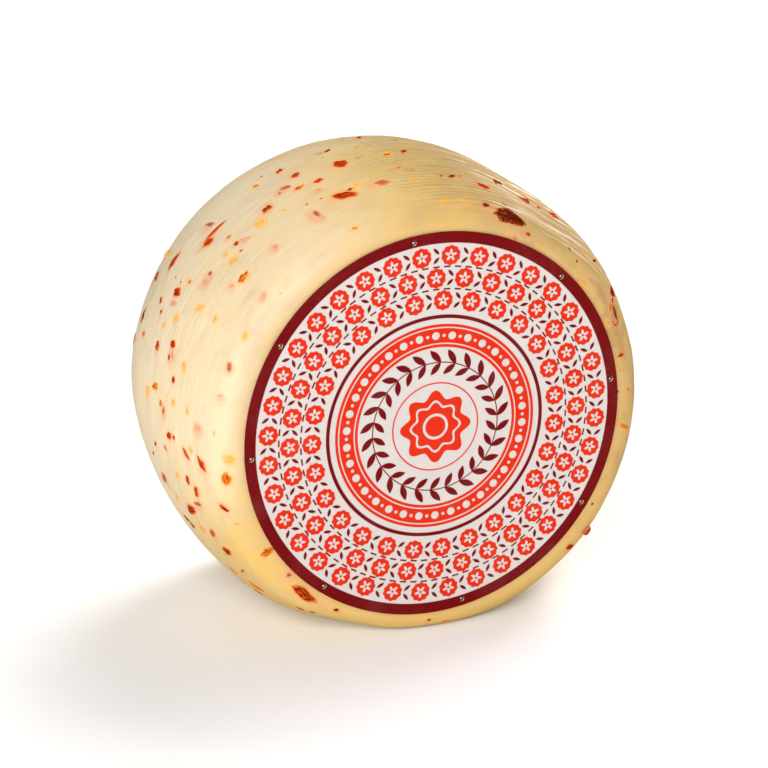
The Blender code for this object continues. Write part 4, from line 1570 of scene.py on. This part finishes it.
def floor_material():
    """Matte white board with the faintest mottling."""
    board = Surface("studio_floor")
    cloud = board.noise(160.0, 160.0, 160.0, detail=2.0)
    board.set(Base_Color=board.mix(cloud, (0.89, 0.89, 0.888), (0.91, 0.91, 0.908)))
    board.set(Roughness=(cloud * 0.2 + 0.6), Specular_IOR_Level=0.25)
    return board.material


def add_floor(settings):
    deselect_all()
    below = -0.0001
    bpy.ops.mesh.primitive_circle_add(
        vertices=96, radius=settings.floor_radius, fill_type="TRIFAN", location=(0.0, 0.0, below)
    )
    floor = bpy.context.active_object
    settle_place(floor)
    named(floor, "studio_floor", floor_material())
    floor.visible_glossy = False


def add_softbox(name, place, size, power, diffuse=True, glossy=True):
    """A square soft light that looks at the wheel; it may be left out of soft or of sharp reflection."""
    bpy.ops.object.light_add(type="AREA", location=place)
    light = bpy.context.active_object
    light.name = name
    light.data.shape = "SQUARE"
    light.data.size = size
    light.data.energy = power
    light.data.color = (1.0, 0.997, 0.992)
    light.visible_diffuse = diffuse
    light.visible_glossy = glossy
    toward = Vector((0.0, 0.0, AXIS_HEIGHT)) - Vector(place)
    light.rotation_euler = toward.to_track_quat("-Z", "Y").to_euler()


def add_surround(settings):
    """An even white surround."""
    world = bpy.data.worlds.new("white_surround")
    bpy.context.scene.world = world
    world.use_nodes = True
    background = world.node_tree.nodes["Background"]
    background.inputs["Color"].default_value = (1.0, 0.995, 0.985, 1.0)
    background.inputs["Strength"].default_value = settings.surround
    world.cycles_visibility.glossy = False


def add_camera(settings):
    """The camera at the photograph's viewing angle."""
    turn = settings.camera_turn
    rise = settings.camera_rise
    back = Vector((math.sin(turn) * math.cos(rise), -math.cos(turn) * math.cos(rise), math.sin(rise)))
    right = Vector((math.cos(turn), math.sin(turn), 0.0))
    up = back.cross(right)
    aim = Vector((0.0, 0.0, AXIS_HEIGHT)) + (right - up) * AIM_SHIFT
    place = aim + back * settings.camera_distance
    bpy.ops.object.camera_add(location=place)
    camera = bpy.context.active_object
    camera.name = "photo_camera"
    camera.rotation_euler = Matrix((right, up, back)).transposed().to_euler()
    camera.data.sensor_width = 36.0
    camera.data.lens = settings.lens
    camera.data.clip_start = 0.05
    bpy.context.scene.camera = camera


class CHEESE_OT_studio(Operator):
    """Lay the pale floor, set the soft lights and place the camera"""

    bl_idname = "cheese.add_studio"
    bl_label = "Studio"

    def execute(self, context):
        settings = context.scene.cheese_studio
        add_floor(settings)
        add_surround(settings)
        deselect_all()
        add_softbox("key_softbox", (-0.8, -1.5, 0.9), 1.0, settings.key_power)
        add_softbox("side_softbox", (-1.5, -0.5, 0.4), 0.8, settings.side_power)
        add_softbox("top_softbox", (0.0, 0.0, 1.6), 1.4, settings.top_power, glossy=False)
        add_softbox("back_softbox", (1.25, 0.9, 1.7), 1.5, settings.back_power, glossy=False)
        add_softbox("fill_softbox", (1.6, -0.2, 0.5), 0.8, settings.fill_power, glossy=False)
        add_softbox("glint_softbox", (1.4, 1.3, 0.5), 0.25, settings.glint_power, diffuse=False)
        add_camera(settings)
        context.scene.view_settings.view_transform = "Standard"
        context.scene.view_settings.look = "None"
        return {"FINISHED"}


# ---------------------------------------------------------------- add-on


class CHEESE_PT_panel(Panel):
    """Lists the steps in the 3D view's sidebar"""

    bl_label = "Cheese wheel"
    bl_idname = "CHEESE_PT_panel"
    bl_space_type = "VIEW_3D"
    bl_region_type = "UI"
    bl_category = "Cheese"

    def draw(self, context):
        groups = (
            (CHEESE_OT_rind, context.scene.cheese_rind),
            (CHEESE_OT_flakes, context.scene.cheese_flakes),
            (CHEESE_OT_label, context.scene.cheese_label),
            (CHEESE_OT_studio, context.scene.cheese_studio),
        )
        for step, settings in groups:
            box = self.layout.box()
            box.operator(step.bl_idname)
            for name in settings.__annotations__:
                box.prop(settings, name)


SETTINGS = {
    "cheese_rind": RindSettings,
    "cheese_flakes": FlakeSettings,
    "cheese_label": LabelSettings,
    "cheese_studio": StudioSettings,
}
STEPS = (CHEESE_OT_rind, CHEESE_OT_flakes, CHEESE_OT_label, CHEESE_OT_studio)


def register():
    for group in SETTINGS.values():
        bpy.utils.register_class(group)
    for name, group in SETTINGS.items():
        setattr(bpy.types.Scene, name, PointerProperty(type=group))
    for step in (*STEPS, CHEESE_PT_panel):
        bpy.utils.register_class(step)


def unregister():
    for step in reversed((*STEPS, CHEESE_PT_panel)):
        bpy.utils.unregister_class(step)
    for name in SETTINGS:
        delattr(bpy.types.Scene, name)
    for group in reversed(list(SETTINGS.values())):
        bpy.utils.unregister_class(group)


def main():
    """Runs every step in order."""
    register()
    bpy.ops.cheese.add_studio()
    bpy.ops.cheese.add_rind()
    bpy.ops.cheese.add_flakes()
    bpy.ops.cheese.add_label()


if __name__ == "__main__":
    main()
